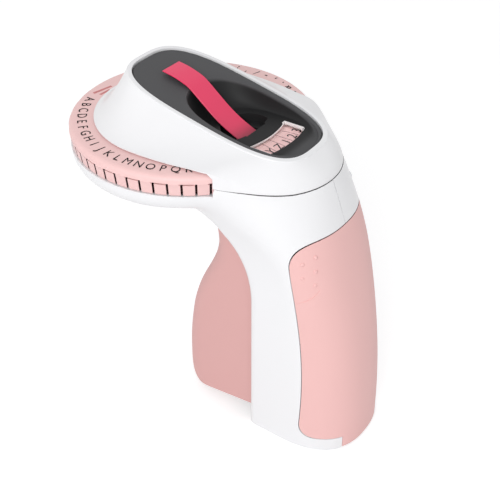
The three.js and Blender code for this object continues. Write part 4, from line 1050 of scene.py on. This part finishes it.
def make_tape():
    line = tape_line()
    half, wide = bpy.context.scene.label_maker_sizes.tape_thickness / MM / 2, TAPE.half_width
    section = [(-wide + 0.1, half), (wide - 0.1, half), (wide, half - 0.1), (wide, 0.1 - half), (wide - 0.1, -half),
               (0.1 - wide, -half), (-wide, 0.1 - half), (-wide, half - 0.1)]
    rings = []
    for i, (x, z) in enumerate(line):
        before, after = line[max(0, i - 1)], line[min(len(line) - 1, i + 1)]
        run = Vector((after[0] - before[0], after[1] - before[1])).normalized()
        rings.append([(x - run.y * out, y, z + run.x * out) for y, out in section])
    strip = skin("label_strip", rings)
    smooth(strip, 40)
    dress(strip, "tape", "frame", "tape_vinyl", "label_tape")


# Finishes of the solids that stay as they are.

CARRIED = {
    "grey": ["bearing_ring", "tape_reel", "pressure_roller"],
    "tape": ["tape_roll"],
    "rubber": ["feed_roller", "anvil_pad"],
    "dark_steel": ["chassis", "base_plate", "press_plunger", "lever_spring"],
    "bright_steel": ["lever_crossbar", "lever_pin", "feed_pawl", "cutter_blade", "tape_guide", "reel_axle",
                     "feed_shaft", "ratchet_wheel", "pressure_shaft", "detent_spring"],
}


def finish_inner_parts():
    for key, names in CARRIED.items():
        if key == "bright_steel":
            names = names + [name for name in NODES if "screw" in name]
        for name in names:
            node = NODES[name]
            node.data.materials.clear()
            node.data.materials.append(finish(key))


# Stage.

def area_light(name, place, aim, size, power):
    light = bpy.data.lights.new(name, "AREA")
    light.shape = "DISK"
    light.size = size
    light.energy = power
    lamp = bpy.data.objects.new(name, light)
    bpy.context.scene.collection.objects.link(lamp)
    lamp.location = place
    lamp.rotation_euler = (Vector(aim) - Vector(place)).to_track_quat("-Z", "Y").to_euler()


def seen_directly(tree):
    """1 for what the camera, a mirror or glass shows, 0 for the light that falls on the object."""
    rays = add_node(tree, "LightPath", {}).outputs
    first = add_node(tree, "Math", {0: rays["Is Camera Ray"], 1: rays["Is Glossy Ray"]}, operation="MAXIMUM")
    both = {0: first.outputs[0], 1: rays["Is Transmission Ray"]}
    return add_node(tree, "Math", both, operation="MAXIMUM").outputs[0]


def make_floor():
    drop_selection()
    bpy.ops.mesh.primitive_plane_add(size=6, location=(0, 0, -0.0002))
    floor = named("pale_floor")
    fix_place(floor)
    material, tree, surface = new_material("pale_floor")
    glow = {0: seen_directly(tree), 1: bpy.context.scene.label_maker_finishes.floor_glow}
    set_inputs(tree, surface, {
        "Base Color": (0.72, 0.72, 0.725, 1),
        "Roughness": 0.6,
        "Specular IOR Level": 0.2,
        "Emission Color": (1, 1, 1, 1),
        "Emission Strength": add_node(tree, "Math", glow, operation="MULTIPLY").outputs[0],
    })
    floor.data.materials.append(material)


def make_world():
    world = bpy.data.worlds.new("pale_room")
    bpy.context.scene.world = world
    world.use_nodes = True
    tree = world.node_tree
    light = {"Value": seen_directly(tree), "To Min": bpy.context.scene.label_maker_finishes.room_light, "To Max": 1.0}
    level = add_node(tree, "MapRange", light)
    set_inputs(tree, tree.nodes["Background"], {"Color": (1, 1, 1, 1), "Strength": level.outputs["Result"]})


def make_camera():
    """The photograph's view: its lens, its place in metres and the directions of its sides."""
    camera = bpy.data.cameras.new("photo_view")
    camera.sensor_width = 36.0
    camera.lens = 66.085
    camera.clip_start = 0.01
    holder = bpy.data.objects.new("photo_view", camera)
    bpy.context.scene.collection.objects.link(holder)
    right, up, back = (0.8215, 0.5702, 0), (-0.3402, 0.4902, 0.8024), (0.4575, -0.6592, 0.5967)
    turned = Matrix((right, up, back)).transposed().to_4x4()
    holder.matrix_world = Matrix.Translation((0.15840, -0.21930, 0.26039)) @ turned
    bpy.context.scene.camera = holder


def make_stage():
    scene = bpy.context.scene
    scene.view_settings.view_transform = "Standard"
    make_floor()
    make_world()
    make_camera()
    lights = scene.label_maker_finishes
    middle = (0.0, 0.0, 0.06)
    area_light("key", (0.3, -0.7, 0.5), middle, 0.5, lights.key_power)
    area_light("fill", (-0.6, -0.35, 0.5), middle, 0.6, lights.fill_power)


# Settings, operators and panel.

COLOUR = {"subtype": "COLOR", "size": 3, "min": 0, "max": 1}


class LabelMakerSizes(bpy.types.PropertyGroup):
    letter_size: bpy.props.FloatProperty(
        name="Letter size", description="Body height of the dial's characters", default=0.0048, min=0.001,
        unit="LENGTH")
    slot_depth: bpy.props.FloatProperty(
        name="Slot depth", description="Depth of the slots between the finger blocks", default=0.00125, min=0.0002,
        max=0.002, unit="LENGTH")
    dot_radius: bpy.props.FloatProperty(
        name="Dot radius", description="Radius of the raised dots on the rear cover", default=0.0008, min=0.0005,
        max=0.002, unit="LENGTH")
    crease_radius: bpy.props.FloatProperty(
        name="Crease radius", description="Radius of the crease below the dots", default=0.00042, min=0.0001,
        max=0.001, unit="LENGTH")
    tape_thickness: bpy.props.FloatProperty(
        name="Tape thickness", description="Thickness of the label strip", default=0.0004, min=0.0002, max=0.001,
        unit="LENGTH")


class LabelMakerFinishes(bpy.types.PropertyGroup):
    shell: bpy.props.FloatVectorProperty(
        name="Shell", description="White of the body and cover", default=shade(236, 236, 238), **COLOUR)
    # The lever's pink is the grip's pink made darker: painted shade for the lever lying under the head.
    lever: bpy.props.FloatVectorProperty(
        name="Lever", description="Pink of the lever", default=shade(217, 168, 165), **COLOUR)
    moulding: bpy.props.FloatVectorProperty(
        name="Grip", description="Pink of the rear cover", default=shade(236, 189, 186), **COLOUR)
    dial: bpy.props.FloatVectorProperty(
        name="Dial", description="Pink of the character dial", default=shade(240, 200, 198), **COLOUR)
    insert: bpy.props.FloatVectorProperty(
        name="Insert", description="Black of the top insert", default=shade(80, 80, 82), **COLOUR)
    ink: bpy.props.FloatVectorProperty(
        name="Characters", description="Print on the dial", default=shade(12, 12, 14), **COLOUR)
    tape: bpy.props.FloatVectorProperty(
        name="Tape", description="Red-pink of the label tape", default=shade(234, 52, 98), **COLOUR)
    floor_glow: bpy.props.FloatProperty(
        name="Floor brightness", description="How much paler the floor looks", default=0.46, min=0, max=1)
    room_light: bpy.props.FloatProperty(name="Room light", description="Light from all round", default=0.65, min=0)
    key_power: bpy.props.FloatProperty(
        name="Key light", description="Large light near the camera", default=3.7, min=0, unit="POWER")
    fill_power: bpy.props.FloatProperty(
        name="Fill light", description="Weak light at the left", default=0.3, min=0, unit="POWER")


class LABELMAKER_OT_body(bpy.types.Operator):
    """Build the two white shells and the rear grip cover that is cut from the same form"""
    bl_idname = "label_maker.body"
    bl_label = "Body shells and grip"

    def execute(self, context):
        finish_grip(make_body())
        return {"FINISHED"}


class LABELMAKER_OT_cover(bpy.types.Operator):
    """Build the white cover over the head"""
    bl_idname = "label_maker.cover"
    bl_label = "Head cover"

    def execute(self, context):
        make_cover()
        return {"FINISHED"}


class LABELMAKER_OT_insert(bpy.types.Operator):
    """Build the black insert with its recess"""
    bl_idname = "label_maker.insert"
    bl_label = "Top insert"

    def execute(self, context):
        make_insert()
        return {"FINISHED"}


class LABELMAKER_OT_window(bpy.types.Operator):
    """Build the window over the letters"""
    bl_idname = "label_maker.window"
    bl_label = "Window"

    def execute(self, context):
        make_window()
        return {"FINISHED"}


class LABELMAKER_OT_dial(bpy.types.Operator):
    """Build the character dial with its finger blocks"""
    bl_idname = "label_maker.dial"
    bl_label = "Dial"

    def execute(self, context):
        make_dial()
        return {"FINISHED"}


class LABELMAKER_OT_letters(bpy.types.Operator):
    """Print the characters on the dial"""
    bl_idname = "label_maker.letters"
    bl_label = "Dial characters"

    def execute(self, context):
        make_letters()
        return {"FINISHED"}


class LABELMAKER_OT_lever(bpy.types.Operator):
    """Build the squeeze lever"""
    bl_idname = "label_maker.lever"
    bl_label = "Squeeze lever"

    def execute(self, context):
        make_lever()
        return {"FINISHED"}


class LABELMAKER_OT_tape(bpy.types.Operator):
    """Build the label strip from the roll to its free end"""
    bl_idname = "label_maker.tape"
    bl_label = "Label strip"

    def execute(self, context):
        make_tape()
        return {"FINISHED"}


class LABELMAKER_OT_inner(bpy.types.Operator):
    """Give the frame, shafts, rollers, roll and screws their finishes"""
    bl_idname = "label_maker.inner"
    bl_label = "Inner parts"

    def execute(self, context):
        finish_inner_parts()
        return {"FINISHED"}


class LABELMAKER_OT_stage(bpy.types.Operator):
    """Set the floor, soft light and camera"""
    bl_idname = "label_maker.stage"
    bl_label = "Stage"

    def execute(self, context):
        make_stage()
        return {"FINISHED"}


OPERATORS = (LABELMAKER_OT_stage, LABELMAKER_OT_body, LABELMAKER_OT_cover, LABELMAKER_OT_insert, LABELMAKER_OT_window,
             LABELMAKER_OT_dial, LABELMAKER_OT_letters, LABELMAKER_OT_lever, LABELMAKER_OT_tape, LABELMAKER_OT_inner)


class LABELMAKER_PT_panel(bpy.types.Panel):
    """Pieces and finishes of the label maker"""
    bl_label = "Label Maker"
    bl_idname = "LABELMAKER_PT_panel"
    bl_space_type = "VIEW_3D"
    bl_region_type = "UI"
    bl_category = "Label Maker"

    def draw(self, context):
        for settings in (context.scene.label_maker_sizes, context.scene.label_maker_finishes):
            for name in settings.__annotations__:
                self.layout.prop(settings, name)
        for operator in OPERATORS:
            self.layout.operator(operator.bl_idname)


CLASSES = (LabelMakerSizes, LabelMakerFinishes) + OPERATORS + (LABELMAKER_PT_panel,)


def register():
    for item in CLASSES:
        bpy.utils.register_class(item)
    bpy.types.Scene.label_maker_sizes = bpy.props.PointerProperty(type=LabelMakerSizes)
    bpy.types.Scene.label_maker_finishes = bpy.props.PointerProperty(type=LabelMakerFinishes)


def unregister():
    del bpy.types.Scene.label_maker_finishes
    del bpy.types.Scene.label_maker_sizes
    for item in reversed(CLASSES):
        bpy.utils.unregister_class(item)


def main():
    register()
    bpy.ops.label_maker.stage()
    bpy.ops.label_maker.body()
    bpy.ops.label_maker.cover()
    bpy.ops.label_maker.insert()
    bpy.ops.label_maker.window()
    bpy.ops.label_maker.dial()
    bpy.ops.label_maker.letters()
    bpy.ops.label_maker.lever()
    bpy.ops.label_maker.tape()
    bpy.ops.label_maker.inner()


if __name__ == "__main__":
    main()
